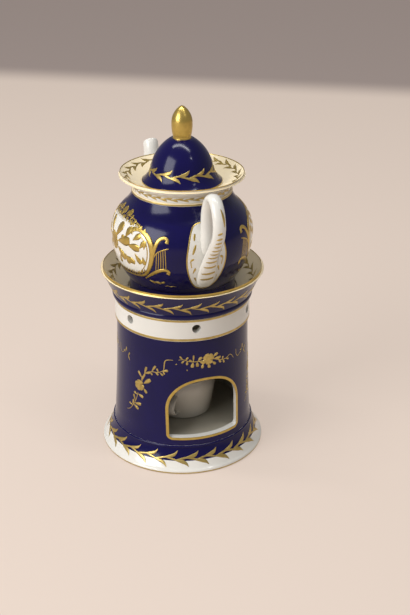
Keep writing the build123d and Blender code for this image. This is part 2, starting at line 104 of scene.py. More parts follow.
def paper_backdrop():
    """Matt paper, pale on the table; its far part is painted greyer as painted shade of the dim back of the room. A
    share of what the camera and reflections see of it is its plain colour, which keeps the far part pale and the shadow
    soft."""
    material, tree, output = new_material("backdrop_paper")
    place = add(tree, "ShaderNodeTexCoord", {})
    along = add(tree, "ShaderNodeMapping", {
        "Vector": place.outputs["Object"], "Rotation": (0, 0, camera_turn + radians(10.0))})
    parts = add(tree, "ShaderNodeSeparateXYZ", {"Vector": along.outputs["Vector"]})
    # Between about 0.92 m and 1.03 m behind the ware the pale paper colour turns to a darker grey: painted shade.
    far_shade_ramp = add(tree, "ShaderNodeMapRange", {
        "Value": parts.outputs["Y"], "From Min": 0.92, "From Max": 1.03}, interpolation_type="SMOOTHSTEP")
    tone = add(tree, "ShaderNodeMix", {
        "Factor": far_shade_ramp.outputs["Result"], "A": linear("#e2d1c4"), "B": linear("#a49690")}, data_type="RGBA")
    shader = add(tree, "ShaderNodeBsdfPrincipled", {
        "Base Color": tone.outputs["Result"], "Roughness": 0.9, "Specular IOR Level": 0.2})
    plain = add(tree, "ShaderNodeEmission", {"Color": tone.outputs["Result"]})
    path = add(tree, "ShaderNodeLightPath", {})
    seen = add(tree, "ShaderNodeMath", {0: path.outputs["Is Camera Ray"], 1: path.outputs["Is Glossy Ray"]})
    seen = add(tree, "ShaderNodeMath", {0: seen.outputs[0], 1: path.outputs["Is Transmission Ray"]}, use_clamp=True)
    share = add(tree, "ShaderNodeMath", {0: seen.outputs[0], 1: 0.6}, operation="MULTIPLY")
    paper = add(tree, "ShaderNodeMixShader", {
        0: share.outputs[0], 1: shader.outputs["BSDF"], 2: plain.outputs["Emission"]})
    tree.links.new(paper.outputs["Shader"], output.inputs["Surface"])
    return material


bpy.ops.object.select_all(action="DESELECT")
bpy.ops.mesh.primitive_plane_add(size=8.0, location=(0, 0, 0))
floor = bpy.context.object
floor.name = "table"
floor.data.materials.append(paper_backdrop())


def lamp(name, kind, power, place, aim, size):
    """Area lamp at a place, turned to face a point."""
    bpy.ops.object.light_add(type="AREA", location=place)
    light = bpy.context.object
    light.name = name
    light.data.shape = kind
    light.data.energy = power
    light.data.size = size[0]
    light.data.size_y = size[1]
    light.rotation_euler = (Vector(aim) - Vector(place)).to_track_quat("-Z", "Y").to_euler()
    return light


lamp("window_softbox", "RECTANGLE", 12.0, (-1.03, -0.34, 0.66), (0, 0, 0.15), (0.75, 0.75))
overhead = lamp("overhead_strip", "RECTANGLE", 9.5, (-0.1, -0.09, 1.35), (-0.1, -0.09, 0.15), (1.4, 0.12))
overhead.rotation_euler = (0.0, 0.0, atan2(-0.87, 1.19))
lamp("small_lamp", "RECTANGLE", 0.4, (0.39, -0.76, 1.0), (0, 0, 0.2), (0.06, 0.06))
world = bpy.data.worlds.new("studio_air")
world.use_nodes = True
bpy.context.scene.world = world
world.node_tree.nodes["Background"].inputs["Color"].default_value = linear("#f3f0ee")
world.node_tree.nodes["Background"].inputs["Strength"].default_value = 0.36


# Stand foot: a hollow spreading foot of hard-paste porcelain, thrown and turned, with a small bead under the
# barrel. Its lower part is left white and the flare above is laid with cobalt under the clear glaze.
def bow(start, middle, end, count=10):
    """Points on the arc from start through middle to end, without the start."""
    a, b, c = complex(*start), complex(*middle), complex(*end)
    w = (c - a) / (b - a)
    if abs(w.imag) < 1e-6:
        return [((a + (c - a) * i / count).real, (a + (c - a) * i / count).imag) for i in range(1, count + 1)]
    centre = -((a - b) * (w - abs(w) ** 2) / 2j / w.imag - a)
    turn = cmath.phase((c - centre) / (a - centre))
    return [((centre + (a - centre) * cmath.exp(1j * turn * i / count)).real,
             (centre + (a - centre) * cmath.exp(1j * turn * i / count)).imag) for i in range(1, count + 1)]


def outline(*steps, count=10):
    """Points of an open outline; a ("via", radius, height) step bends the run between its neighbours."""
    points = [steps[0]]
    middle = None
    for step in steps[1:]:
        if step[0] == "via":
            middle = step[1:]
        elif middle:
            points += bow(points[-1], middle, step, count)
            middle = None
        else:
            points.append(step)
    return points


def draw(name, points):
    """Wire drawn point by point through (x, z) points, in millimetres; leaves it open in edit mode."""
    bpy.ops.object.select_all(action="DESELECT")
    bpy.ops.mesh.primitive_plane_add(size=MM, location=(points[0][0] * MM, 0, points[0][1] * MM))
    piece = bpy.context.object
    piece.name = name
    bpy.ops.object.transform_apply(location=True, rotation=False, scale=False)
    bpy.ops.object.mode_set(mode="EDIT")
    bpy.ops.mesh.merge(type="CENTER")
    for here, there in zip(points, points[1:]):
        step = ((there[0] - here[0]) * MM, 0, (there[1] - here[1]) * MM)
        bpy.ops.mesh.extrude_region_move(TRANSFORM_OT_translate={"value": step})
    return piece


def throw(name, points, steps=144):
    """Turned ware: an outline drawn beside the axis, spun a full turn and closed."""
    solid = points[0][0] == 0 and points[-1][0] == 0
    piece = draw(name, list(points) if solid else list(points) + [points[0]])
    bpy.ops.mesh.select_all(action="SELECT")
    bpy.ops.mesh.spin(steps=steps, angle=2 * pi, center=(0, 0, 0), axis=(0, 0, 1))
    bpy.ops.mesh.select_all(action="SELECT")
    bpy.ops.mesh.remove_doubles(threshold=0.002 * MM)
    bpy.ops.mesh.normals_make_consistent(inside=False)
    bpy.ops.object.mode_set(mode="OBJECT")
    bpy.ops.object.shade_smooth_by_angle(angle=radians(38))
    return piece


def paint(piece, material, where):
    """Gives a material to the faces whose centre, in millimetres, and normal pass a test."""
    if material.name not in piece.data.materials:
        piece.data.materials.append(material)
    index = piece.data.materials.find(material.name)
    for face in piece.data.polygons:
        centre = face.center / MM
        if where(hypot(centre.x, centre.y), centre.z, face.normal, centre):
            face.material_index = index


def glaze(name, colour, pooled, gloss, ripple, shine=0.5):
    """Porcelain under a clear fired glaze: the colour varies a little where the glaze pools, and the gloss ripples."""
    material, tree, output = new_material(name)
    place = add(tree, "ShaderNodeTexCoord", {})
    cloud = add(tree, "ShaderNodeTexNoise", {"Vector": place.outputs["Object"], "Scale": 55.0, "Detail": 3.0})
    tone = add(tree, "ShaderNodeMix", {
        "Factor": cloud.outputs["Fac"], "A": linear(colour), "B": linear(pooled)}, data_type="RGBA")
    wave = add(tree, "ShaderNodeTexNoise", {"Vector": place.outputs["Object"], "Scale": 160.0, "Detail": 2.0})
    bump = add(tree, "ShaderNodeBump", {
        "Height": wave.outputs["Fac"], "Strength": ripple, "Distance": 0.0004})
    shader = add(tree, "ShaderNodeBsdfPrincipled", {
        "Base Color": tone.outputs["Result"], "Roughness": gloss, "IOR": 1.5, "Specular IOR Level": shine,
        "Normal": bump.outputs["Normal"]})
    tree.links.new(shader.outputs["BSDF"], output.inputs["Surface"])
    return material


cobalt = glaze("cobalt_underglaze", "#0a0736", "#0f0a46", 0.16, 0.08, shine=0.26)
white = glaze("white_porcelain_glaze", "#d3d1ca", "#dcdad3", 0.12, 0.04)
# Cream for the insides of the dish and plate: a warm tone, made brighter than the white as painted light on these
# faces.
cream_and_painted_light = glaze("cream_glaze_with_painted_light", "#f1dfb8", "#f8e9c8", 0.18, 0.04, shine=0.3)
# Greyed white glaze for the inside of the chamber and its floor: painted shade, where little light reaches.
chamber_shade = glaze("chamber_painted_shade_glaze", "#989283", "#a7a294", 0.2, 0.04)

foot_low, foot_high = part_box("stand_foot")
foot_radius = foot_high.x / MM
foot_top = foot_high.z / MM
foot_edge = 2.9
foot_bead = 1.6
foot_rest = foot_radius - 4.6
foot_ledge = 38.8
barrel_low, barrel_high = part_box("stand_barrel")
barrel_foot = barrel_high.x / MM
white_line = 7.8
foot_outer = outline(
    (foot_radius - 0.3 * foot_edge, 0.0),
    ("via", foot_radius - 0.12, 0.42 * foot_edge), (foot_radius - 0.3 * foot_edge, foot_edge - 0.1),
    (foot_radius - 0.42 * foot_edge, foot_edge + 0.12),
    ("via", 48.9, 0.5 * (foot_edge + foot_top - foot_bead)), (barrel_foot + 0.45, foot_top - foot_bead),
    ("via", barrel_foot + 0.85, foot_top - 0.5 * foot_bead), (barrel_foot + 0.05, foot_top))
stand_foot = throw("stand_foot_thrown", foot_outer + outline(
    (foot_ledge, foot_top), (foot_ledge, foot_top - 4.6),
    ("via", 43.0, 5.6), (foot_rest, 0.0)))
paint(stand_foot, white, lambda r, z, normal, c: True)
paint(stand_foot, cobalt, lambda r, z, normal, c: z > white_line and r > barrel_foot - 1.0)
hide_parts("stand_foot")
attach(stand_foot, "stand")


# Stand barrel: thrown, turned to a slight taper and shaved to leave a raised band at its head. The fire door is
# cut out of the leather-hard clay with a knife and the six air holes are bored, then the outside is laid with
# cobalt; the band, the cut edges and the inside at the band stay white, and the inside below the band is a greyed
# white as painted shade of the dim chamber.
barrel_top = barrel_high.z / MM
barrel_bore = barrel_foot - 4.6
barrel_head = 42.6
band_radius = barrel_head + 1.0
band_low = barrel_top - 14.7
barrel_waist = barrel_foot - 1.0
flare_top = foot_top + 8.0
head_bore = barrel_head - 3.6
barrel_outer = outline(
    (barrel_foot, foot_top),
    ("via", barrel_waist + 0.3, foot_top + 4.0), (barrel_waist, flare_top),
    ("via", 0.35 * barrel_waist + 0.65 * barrel_head, 0.52 * flare_top + 0.48 * band_low),
    (barrel_head, band_low - 1.0),
    ("via", barrel_head + 0.1, band_low - 0.45), (band_radius - 0.3, band_low),
    ("via", band_radius - 0.08, band_low + 0.2), (band_radius, band_low + 0.6),
    (band_radius, barrel_top), count=24)
stand_barrel = throw("stand_barrel_thrown", barrel_outer + [
    (head_bore, barrel_top), (head_bore, band_low), (barrel_bore, foot_top)], steps=192)
paint(stand_barrel, white, lambda r, z, normal, c: True)
# Inward faces below the band get the greyed white: painted shade inside the chamber.
paint(stand_barrel, chamber_shade, lambda r, z, normal, c: normal.x * c.x + normal.y * c.y < -0.3 * r and z < band_low)
paint(stand_barrel, cobalt, lambda r, z, normal, c: z < band_low and normal.x * c.x + normal.y * c.y > 0.3 * r)

door_half = 23.2
sill = 22.3
door_crown = 62.0
door_spring = 42.0
door_crown_radius = 40.0


def door_line(grow, corner=2.0):
    """Outline of the fire door, or of a line outside it: upright sides under a three-centred arch."""
    half = door_half + grow
    crown = door_crown + grow
    big = door_crown_radius + grow
    rise = crown - door_spring
    small = (2 * big * rise - rise ** 2 - half ** 2) / (2 * (big - half))
    lean = hypot(half - small, door_spring - (crown - big))
    across, up = (half - small) / lean, (door_spring - (crown - big)) / lean
    haunch = (big * across, crown - big + big * up)
    knee = 0.5 * atan2(up, across)
    middle = (half - small + small * cos(knee), door_spring + small * sin(knee))
    low = sill - grow
    soft = corner + 0.6 * grow
    nook = soft * (1 - sqrt(0.5))
    return outline(
        (0.0, low), (half - soft, low),
        ("via", half - nook, low + nook), (half, low + soft), (half, door_spring),
        ("via", *middle), haunch, ("via", 0.0, crown), (-haunch[0], haunch[1]),
        ("via", -middle[0], middle[1]), (-half, door_spring), (-half, low + soft),
        ("via", -half + nook, low + nook), (-half + soft, low), count=16)


def carve(piece, cutter):
    """Cuts a solid out of a piece and throws the cutter away."""
    bpy.ops.object.select_all(action="DESELECT")
    piece.select_set(True)
    bpy.context.view_layer.objects.active = piece
    bpy.ops.object.modifier_add(type="BOOLEAN")
    piece.modifiers[-1].object = cutter
    piece.modifiers[-1].operation = "DIFFERENCE"
    piece.modifiers[-1].solver = "EXACT"
    bpy.ops.object.modifier_apply(modifier=piece.modifiers[-1].name)
    bpy.data.objects.remove(cutter)


door_points = door_line(0.0)
door_cutter = draw("door_cutter", door_points + [door_points[0]])
bpy.ops.mesh.select_all(action="SELECT")
bpy.ops.mesh.remove_doubles(threshold=0.002 * MM)
bpy.ops.mesh.edge_face_add()
bpy.ops.transform.translate(value=(0, -20 * MM, 0))
bpy.ops.mesh.extrude_region_move(TRANSFORM_OT_translate={"value": (0, -40 * MM, 0)})
bpy.ops.mesh.select_all(action="SELECT")
bpy.ops.mesh.normals_make_consistent(inside=False)
bpy.ops.object.mode_set(mode="OBJECT")
paint(door_cutter, white, lambda r, z, normal, c: True)
carve(stand_barrel, door_cutter)

vent_level = barrel_top - 6.1
vent_turn = radians(-8.5)
for number in range(6):
    angle = vent_turn + number * pi / 3
    bpy.ops.object.select_all(action="DESELECT")
    bpy.ops.mesh.primitive_cylinder_add(
        vertices=32, radius=2.8 * MM, depth=14 * MM, rotation=(pi / 2, 0, angle),
        location=(barrel_head * MM * sin(angle), -barrel_head * MM * cos(angle), vent_level * MM))
    vent_cutter = bpy.context.object
    bpy.ops.object.transform_apply(location=True, rotation=True, scale=True)
    paint(vent_cutter, white, lambda r, z, normal, c: True)
    carve(stand_barrel, vent_cutter)
bpy.ops.object.shade_smooth_by_angle(angle=radians(38))
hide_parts("stand_barrel")
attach(stand_barrel, "stand")


# Chamber floor: a white glazed slab luted in between foot and barrel, given a greyed white as painted shade of the dim
# chamber.
floor_low, floor_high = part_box("stand_floor")
floor_edge = floor_high.x / MM
stand_floor = throw("stand_floor_slab", outline(
    (0.0, floor_low.z / MM), (floor_edge, floor_low.z / MM), (floor_edge, floor_high.z / MM),
    (0.5 * floor_edge, floor_high.z / MM), (0.0, floor_high.z / MM)), steps=96)
paint(stand_floor, chamber_shade, lambda r, z, normal, c: True)
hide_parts("stand_floor")
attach(stand_floor, "stand")


# Stand collar: a bead and a flared dish, turned as one ring and luted on the barrel, with the ledge and shallow
# well that the pot's foot stands in. Cobalt outside, white over the rim, and inside a brighter cream that is partly
# the glaze's warm tone and partly painted light.
collar_low, collar_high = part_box("stand_collar")
dish_radius = 52.4
dish_top = barrel_top + 20.1
bead_top = barrel_top + 3.6
collar_neck = band_radius + 1.1
well = 35.0
ledge = well - 5.0
pot_seat = barrel_top + 3.5
collar_outer = outline(
    (band_radius, barrel_top),
    ("via", band_radius + 1.5, 0.5 * (barrel_top + bead_top)), (collar_neck, bead_top),
    (collar_neck + 0.25, bead_top + 0.25),
    ("via", 48.15, 0.54 * bead_top + 0.46 * dish_top), (dish_radius - 0.3, dish_top - 1.8), count=14)
dish_inner = outline(
    (dish_radius - 1.86, dish_top - 0.6),
    ("via", 44.3, 116.6), (well + 1.2, pot_seat + 2.2), count=20)
stand_collar = throw("stand_collar_turned", collar_outer + outline(
    collar_outer[-1], ("via", dish_radius - 0.66, dish_top), dish_inner[0])[1:] + dish_inner[1:] + [
    (well, pot_seat + 1.5), (well, pot_seat), (ledge, pot_seat), (ledge, barrel_top)], steps=160)
paint(stand_collar, white, lambda r, z, normal, c: True)
paint(stand_collar, cobalt, lambda r, z, normal, c: normal.x * c.x + normal.y * c.y > 0.1 * r and z < dish_top - 1.7)
# Upward and inward faces of the dish get the cream: partly warm tone, partly painted light.
paint(stand_collar, cream_and_painted_light, lambda r, z, normal, c: (z > pot_seat + 1.2 or r < well + 0.5) and (
    normal.z > 0.3 or normal.x * c.x + normal.y * c.y < -0.2 * r))
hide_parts("stand_collar")
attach(stand_collar, "stand")


# Lamp cup: a small bombe cup with a strap ear, white all over, which stands on the chamber floor. Its glaze colour is a
# greyed white, painted shade of the dim chamber.
cup_low, cup_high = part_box("godet_cup")
cup_floor = cup_low.z / MM
cup_top = cup_high.z / MM
cup_radius = cup_high.x / MM
cup_belly = cup_floor + 19.5
cup_wall = 2.1
cup_outer = outline(
    (0.0, cup_floor + 0.4), (12.0, cup_floor + 0.4), (12.6, cup_floor), (16.5, cup_floor),
    ("via", 18.2, cup_floor + 0.72), (18.9, cup_floor + 2.4),
    ("via", 20.4, cup_floor + 10.7), (cup_radius - 0.02, cup_belly),
    ("via", 21.2, 0.5 * (cup_belly + cup_top)), (20.0, cup_top - 1.05),
    ("via", 18.95, cup_top), (17.9, cup_top - 1.05),
    ("via", 19.1, 0.5 * (cup_belly + cup_top)), (cup_radius - cup_wall, cup_belly),
    ("via", 18.2, cup_floor + 10.7), (16.8, cup_floor + 4.5),
    ("via", 16.1, cup_floor + 2.8), (14.4, cup_floor + 2.1), (0.0, cup_floor + 2.1), count=9)
godet_cup = throw("godet_cup_thrown", cup_outer, steps=96)
# Greyed white for the cup and its ear: painted shade inside the chamber.
cup_shade_glaze = glaze("lamp_cup_painted_shade_glaze", "#b5b0a4", "#c4bfb4", 0.16, 0.04)
paint(godet_cup, cup_shade_glaze, lambda r, z, normal, c: True)
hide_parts("godet_cup")
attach(godet_cup, "godet")


def strap(name, stations, sides=16, smooth=2):
    """Clay strap in the plane of x = 0, made from (outward, height, pitch, width, thickness) stations in millimetres:
    a closed ring is extruded, tilted and pinched from one station to the next, then rounded by subdivision."""
    outward, height, pitch, width, thick = stations[0]
    bpy.ops.object.select_all(action="DESELECT")
    bpy.ops.mesh.primitive_circle_add(
        vertices=sides, radius=0.5 * MM, fill_type="NGON", location=(0, -outward * MM, height * MM),
        rotation=(pi / 2 - radians(pitch), 0, 0))
    piece = bpy.context.object
    piece.name = name
    bpy.ops.object.transform_apply(location=True, rotation=True, scale=True)
    bpy.ops.object.mode_set(mode="EDIT")
    bpy.ops.mesh.select_all(action="SELECT")
    bpy.ops.transform.resize(value=(width, thick, thick), center_override=(0, -outward * MM, height * MM))
    for last, this in zip(stations, stations[1:]):
        centre = (0, -this[0] * MM, this[1] * MM)
        step = (0, (last[0] - this[0]) * MM, (this[1] - last[1]) * MM)
        pinch = this[4] / last[4]
        bpy.ops.mesh.extrude_region_move(TRANSFORM_OT_translate={"value": step})
        bpy.ops.transform.rotate(value=radians(this[2] - last[2]), orient_axis="X", center_override=centre)
        bpy.ops.transform.resize(value=(this[3] / last[3], pinch, pinch), center_override=centre)
    bpy.ops.mesh.select_all(action="SELECT")
    bpy.ops.mesh.normals_make_consistent(inside=False)
    bpy.ops.object.mode_set(mode="OBJECT")
    bpy.ops.object.modifier_add(type="SUBSURF")
    piece.modifiers[-1].levels = piece.modifiers[-1].render_levels = smooth
    bpy.ops.object.modifier_apply(modifier=piece.modifiers[-1].name)
    bpy.ops.object.shade_smooth()
    return piece


cup_ear = strap("godet_ear", [
    (17.9, 25.2, 16.0, 6.6, 2.8), (20.0, 25.9, 20.0, 6.6, 2.8), (24.6, 27.0, 34.0, 6.4, 2.8),
    (27.6, 29.6, 62.0, 6.2, 2.8), (28.6, 32.6, 92.0, 6.2, 2.8), (27.5, 35.8, 124.0, 6.2, 2.8),
    (24.6, 38.0, 158.0, 6.4, 2.8), (21.4, 38.7, 170.0, 6.6, 2.8), (19.9, 38.8, 172.0, 6.6, 2.8)], sides=12)
cup_ear.data.transform(Matrix.Rotation(radians(-37.0), 4, "Z"))
paint(cup_ear, cup_shade_glaze, lambda r, z, normal, c: True)
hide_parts("godet_handle")
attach(cup_ear, "godet")


# Night light: a cork disc that floats on the oil, a tin plate pressed on it with a short tube, and a waxed
# cotton wick. It lies on the bottom of the dry cup.
def cork_material():
    """Cut cork: warm brown, full of darker pores about a millimetre across."""
    material, tree, output = new_material("cut_cork")
    place = add(tree, "ShaderNodeTexCoord", {})
    pores = add(tree, "ShaderNodeTexVoronoi", {"Vector": place.outputs["Object"], "Scale": 900.0})
    tone = add(tree, "ShaderNodeMix", {
        "Factor": pores.outputs["Distance"], "A": linear("#5e3d22"), "B": linear("#b98a58")}, data_type="RGBA")
    bump = add(tree, "ShaderNodeBump", {"Height": pores.outputs["Distance"], "Strength": 0.5, "Distance": 0.0004})
    shader = add(tree, "ShaderNodeBsdfPrincipled", {
        "Base Color": tone.outputs["Result"], "Roughness": 0.85, "Normal": bump.outputs["Normal"]})
    tree.links.new(shader.outputs["BSDF"], output.inputs["Surface"])
    return material


def tin_material():
    """Tinned sheet: pale grey metal, dulled and streaked by handling and heat."""
    material, tree, output = new_material("dull_tinplate")
    place = add(tree, "ShaderNodeTexCoord", {})
    haze = add(tree, "ShaderNodeTexNoise", {"Vector": place.outputs["Object"], "Scale": 400.0})
    rough = add(tree, "ShaderNodeMapRange", {"Value": haze.outputs["Fac"], "To Min": 0.3, "To Max": 0.55})
    shader = add(tree, "ShaderNodeBsdfPrincipled", {
        "Base Color": linear("#b9bab8"), "Metallic": 1.0, "Roughness": rough.outputs["Result"]})
    tree.links.new(shader.outputs["BSDF"], output.inputs["Surface"])
    return material


def wick_material():
    """Waxed cotton: cream threads that wind round the wick about 0.5 mm apart."""
    material, tree, output = new_material("waxed_cotton")
    place = add(tree, "ShaderNodeTexCoord", {})
    threads = add(tree, "ShaderNodeTexWave", {
        "Vector": place.outputs["Object"], "Scale": 620.0, "Distortion": 1.0}, bands_direction="DIAGONAL")
    tone = add(tree, "ShaderNodeMix", {
        "Factor": threads.outputs["Fac"], "A": linear("#c9b894"), "B": linear("#efe6cd")}, data_type="RGBA")
    shader = add(tree, "ShaderNodeBsdfPrincipled", {
        "Base Color": tone.outputs["Result"], "Roughness": 0.6, "Subsurface Weight": 0.1})
    tree.links.new(shader.outputs["BSDF"], output.inputs["Surface"])
    return material


cork_low, cork_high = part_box("float_cork")
cork_bottom, cork_top, cork_edge = cork_low.z / MM, cork_high.z / MM, cork_high.x / MM
cork = throw("float_cork_disc", outline(
    (2.2, cork_bottom), (cork_edge - 0.4, cork_bottom), (cork_edge, cork_bottom + 0.4), (cork_edge, cork_top - 0.4),
    (cork_edge - 0.4, cork_top), (2.2, cork_top)), steps=72)
paint(cork, cork_material(), lambda r, z, normal, c: True)
plate = throw("float_plate_pressed", outline(
    (1.35, cork_top + 2.5), (1.35, cork_top - 2.5), (1.9, cork_top - 2.5), (1.9, cork_top), (6.8, cork_top),
    ("via", 7.0, cork_top + 0.25), (6.8, cork_top + 0.5), (2.1, cork_top + 0.5), (1.9, cork_top + 0.8),
    (1.9, cork_top + 2.3), (1.7, cork_top + 2.5), count=4), steps=48)
paint(plate, tin_material(), lambda r, z, normal, c: True)
wick_low, wick_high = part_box("float_wick")
wick_foot, wick_tip = wick_low.z / MM, wick_high.z / MM
wick = throw("float_wick_braid", outline(
    (0.0, wick_foot), (1.2, wick_foot), (1.2, wick_tip - 1.6), ("via", 1.0, wick_tip - 0.5), (0.0, wick_tip)), steps=24)
paint(wick, wick_material(), lambda r, z, normal, c: True)
for piece, node, slot in ((cork, "float_cork", "cork"), (plate, "float_plate", "tinplate"),
                          (wick, "float_wick", "wick_cotton")):
    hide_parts(node)
    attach(piece, "night_light")


# Pot: thrown round-bellied, with a drawn-in foot that stands in the collar's well. The wall behind the spout is
# pierced as a strainer. Cobalt outside, white inside and under the foot.
body_low, body_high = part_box("pot_body")
belly_radius = body_high.x / MM
neck_level = body_high.z / MM
pot_foot = 33.8
foot_rise = pot_seat + 9.9
belly_level = foot_rise + 30.0
shoulder = (36.7, belly_level + 17.5)
neck_radius = 31.0
pot_wall = 2.8


def tangent_arc(start, heading, end, count):
    """Points on the arc that leaves start along a heading and ends at end, without the start, and its last heading."""
    chord = complex(end[0] - start[0], end[1] - start[1])
    turn = 2 * cmath.phase(chord / complex(*heading))
    first = complex(*heading) / abs(complex(*heading))
    points = []
    for i in range(1, count + 1):
        part = turn * i / count
        reach = abs(chord) * (sin(part / 2) / sin(turn / 2) if abs(turn) > 1e-6 else i / count)
        spot = complex(*start) + reach * first * cmath.exp(1j * part / 2)
        points.append((spot.real, spot.imag))
    last = first * cmath.exp(1j * turn)
    return points, (last.real, last.imag)


def pot_side(wall):
    """Side of the pot from foot to neck, drawn in by a wall thickness."""
    belly = (belly_radius - wall, belly_level)
    lower, _ = tangent_arc(belly, (0, -1), (pot_foot - wall, foot_rise), 22)
    upper, heading = tangent_arc(belly, (0, 1), (shoulder[0] - 0.76 * wall, shoulder[1] - 0.65 * wall), 16)
    cove, _ = tangent_arc(upper[-1], heading, (neck_radius - wall, neck_level), 8)
    return lower[::-1] + [belly] + upper + cove


pot_outer = pot_side(0.0)
pot_inner = pot_side(pot_wall)
pot_body = throw("pot_body_thrown", outline(
    (0.0, pot_seat + 2.6), (pot_foot - 3.6, pot_seat + 2.6), (pot_foot - 3.2, pot_seat + 0.3),
    (pot_foot - 2.9, pot_seat), (pot_foot - 0.5, pot_seat), (pot_foot, pot_seat + 0.5)) + pot_outer
    + pot_inner[::-1] + outline(
    (pot_foot - pot_wall, pot_seat + 7.6), ("via", pot_foot - pot_wall - 0.6, pot_seat + 6.2),
    (pot_foot - pot_wall - 2.0, pot_seat + 5.6), (0.0, pot_seat + 5.6)), steps=192)
paint(pot_body, white, lambda r, z, normal, c: True)
paint(pot_body, cobalt, lambda r, z, normal, c: normal.x * c.x + normal.y * c.y > 0.05 * r and z > pot_seat + 0.4)
strainer_level = belly_level - 5.5
for number in range(7):
    turn = number * pi / 3
    ring = 0.0 if number == 6 else 4.6
    bpy.ops.object.select_all(action="DESELECT")
    bpy.ops.mesh.primitive_cylinder_add(
        vertices=20, radius=1.5 * MM, depth=16 * MM, rotation=(pi / 2, 0, 0),
        location=(ring * cos(turn) * MM, belly_radius * MM, (strainer_level + ring * sin(turn)) * MM))
    drill = bpy.context.object
    bpy.ops.object.transform_apply(location=True, rotation=True, scale=True)
    paint(drill, white, lambda r, z, normal, c: True)
    carve(pot_body, drill)
bpy.ops.object.shade_smooth_by_angle(angle=radians(38))
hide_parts("pot_body", "pot_foot")
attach(pot_body, "pot")


# Pot neck: a short neck with a bead at its foot, opening into a shallow plate round the lid. White all over, except the
# plate's inside, which is a brighter cream: partly warm tone, partly painted light.
neck_low, neck_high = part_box("pot_neck")
plate_rim = neck_high.x / MM
plate_top = neck_high.z / MM
lid_seat = neck_level + 6.0
mouth = 23.0
seat_edge = mouth + 2.6
neck_waist = neck_radius - 1.0
plate_under = outline(
    (neck_waist, neck_level + 4.8), ("via", 33.9, 0.56 * (neck_level + 4.8) + 0.44 * (plate_top - 1.8)),
    (plate_rim - 0.66, plate_top - 1.8), count=12)
plate_inside = outline(
    (plate_rim - 1.35, plate_top), ("via", 31.6, 0.54 * lid_seat + 0.46 * plate_top - 0.6),
    (seat_edge, lid_seat + 0.2), count=16)
pot_neck = throw("pot_neck_plate", outline(
    (mouth, neck_level), (neck_radius, neck_level), ("via", neck_radius + 0.3, neck_level + 0.85),
    (neck_waist, neck_level + 1.7)) + plate_under + outline(
    plate_under[-1], ("via", plate_rim - 0.02, plate_top - 0.5), plate_inside[0])[1:] + plate_inside[1:] + [
    (seat_edge, lid_seat), (mouth, lid_seat)], steps=160)
pot_neck.data.flip_normals()
paint(pot_neck, white, lambda r, z, normal, c: True)
# The plate's upward faces get the cream: partly warm tone, partly painted light.
paint(pot_neck, cream_and_painted_light, lambda r, z, normal, c: normal.z > 0.3 and r < plate_rim - 0.8)
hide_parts("pot_neck")
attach(pot_neck, "pot")


# Spout: a swan-necked tube pulled and bent by hand, luted over the strainer, white.
spout_path = [
    (38.8, 143.0, 8.0, 21.0), (43.6, 144.0, 20.0, 20.3), (48.2, 146.6, 38.0, 18.6), (51.8, 150.6, 54.0, 16.4),
    (54.1, 155.4, 68.0, 14.7), (55.7, 160.8, 76.0, 13.4), (56.8, 166.6, 80.0, 12.5), (57.7, 172.4, 80.5, 11.6),
    (58.6, 178.0, 77.0, 10.9), (59.6, 183.4, 70.0, 10.4), (60.8, 187.0, 58.0, 10.2), (61.8, 188.3, 47.0, 9.8)]
spout_wall = 1.7
spout_bore = [(out, up, pitch, width - 2 * spout_wall) for out, up, pitch, width in spout_path[::-1]]
pot_spout = strap("pot_spout_pulled", [
    (out, up, pitch, width, width) for out, up, pitch, width in spout_path + spout_bore[:-1]], sides=16)
pot_spout.data.transform(Matrix.Rotation(pi, 4, "Z"))


def lump():
    """Solid a little inside the pot's outside, which its fittings are cut to."""
    return throw("pot_lump", [(0.0, pot_seat + 1.0), (pot_foot - 0.3, pot_seat + 1.0)]
                 + [(r - 0.15, z) for r, z in pot_outer] + [(0.0, neck_level)], steps=96)


carve(pot_spout, lump())
bpy.ops.object.shade_smooth_by_angle(angle=radians(50))
paint(pot_spout, white, lambda r, z, normal, c: True)
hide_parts("pot_spout")
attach(pot_spout, "pot")


# Handle: a pulled strap of clay that springs from the shoulder, curls over as an ear and runs down into a
# flattened tail luted on the belly. White, with gold strokes.
handle_path = [
    (41.6, 146.2, 62.0, 7.4, 4.4), (43.3, 150.6, 80.0, 8.2, 6.0), (43.7, 156.4, 92.0, 8.2, 6.5),
    (43.0, 162.0, 95.0, 8.2, 6.6), (42.7, 168.0, 86.0, 8.2, 6.6), (43.2, 174.0, 76.0, 8.1, 6.6),
    (45.2, 180.2, 58.0, 8.1, 6.6), (48.8, 184.9, 36.0, 8.1, 6.6), (53.9, 186.5, -7.0, 8.1, 6.7),
    (58.3, 183.4, -52.0, 8.1, 6.7), (61.3, 177.8, -68.0, 8.1, 6.6), (62.9, 170.8, -90.0, 8.1, 6.6),
    (61.4, 163.6, -114.0, 8.1, 6.6), (56.7, 157.4, -128.0, 8.3, 6.5), (51.9, 151.0, -122.0, 9.0, 6.4),
    (47.8, 143.8, -118.0, 10.6, 6.2), (44.4, 136.6, -117.0, 12.4, 5.4), (41.7, 130.6, -117.0, 12.3, 4.8),
    (40.1, 126.8, -118.0, 10.0, 4.2), (39.3, 125.4, -120.0, 6.0, 2.6)]
pot_handle = strap("pot_handle_pulled", handle_path, sides=14)
carve(pot_handle, lump())
bpy.ops.object.shade_smooth_by_angle(angle=radians(50))
paint(pot_handle, white, lambda r, z, normal, c: True)
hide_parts("pot_handle")
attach(pot_handle, "pot")


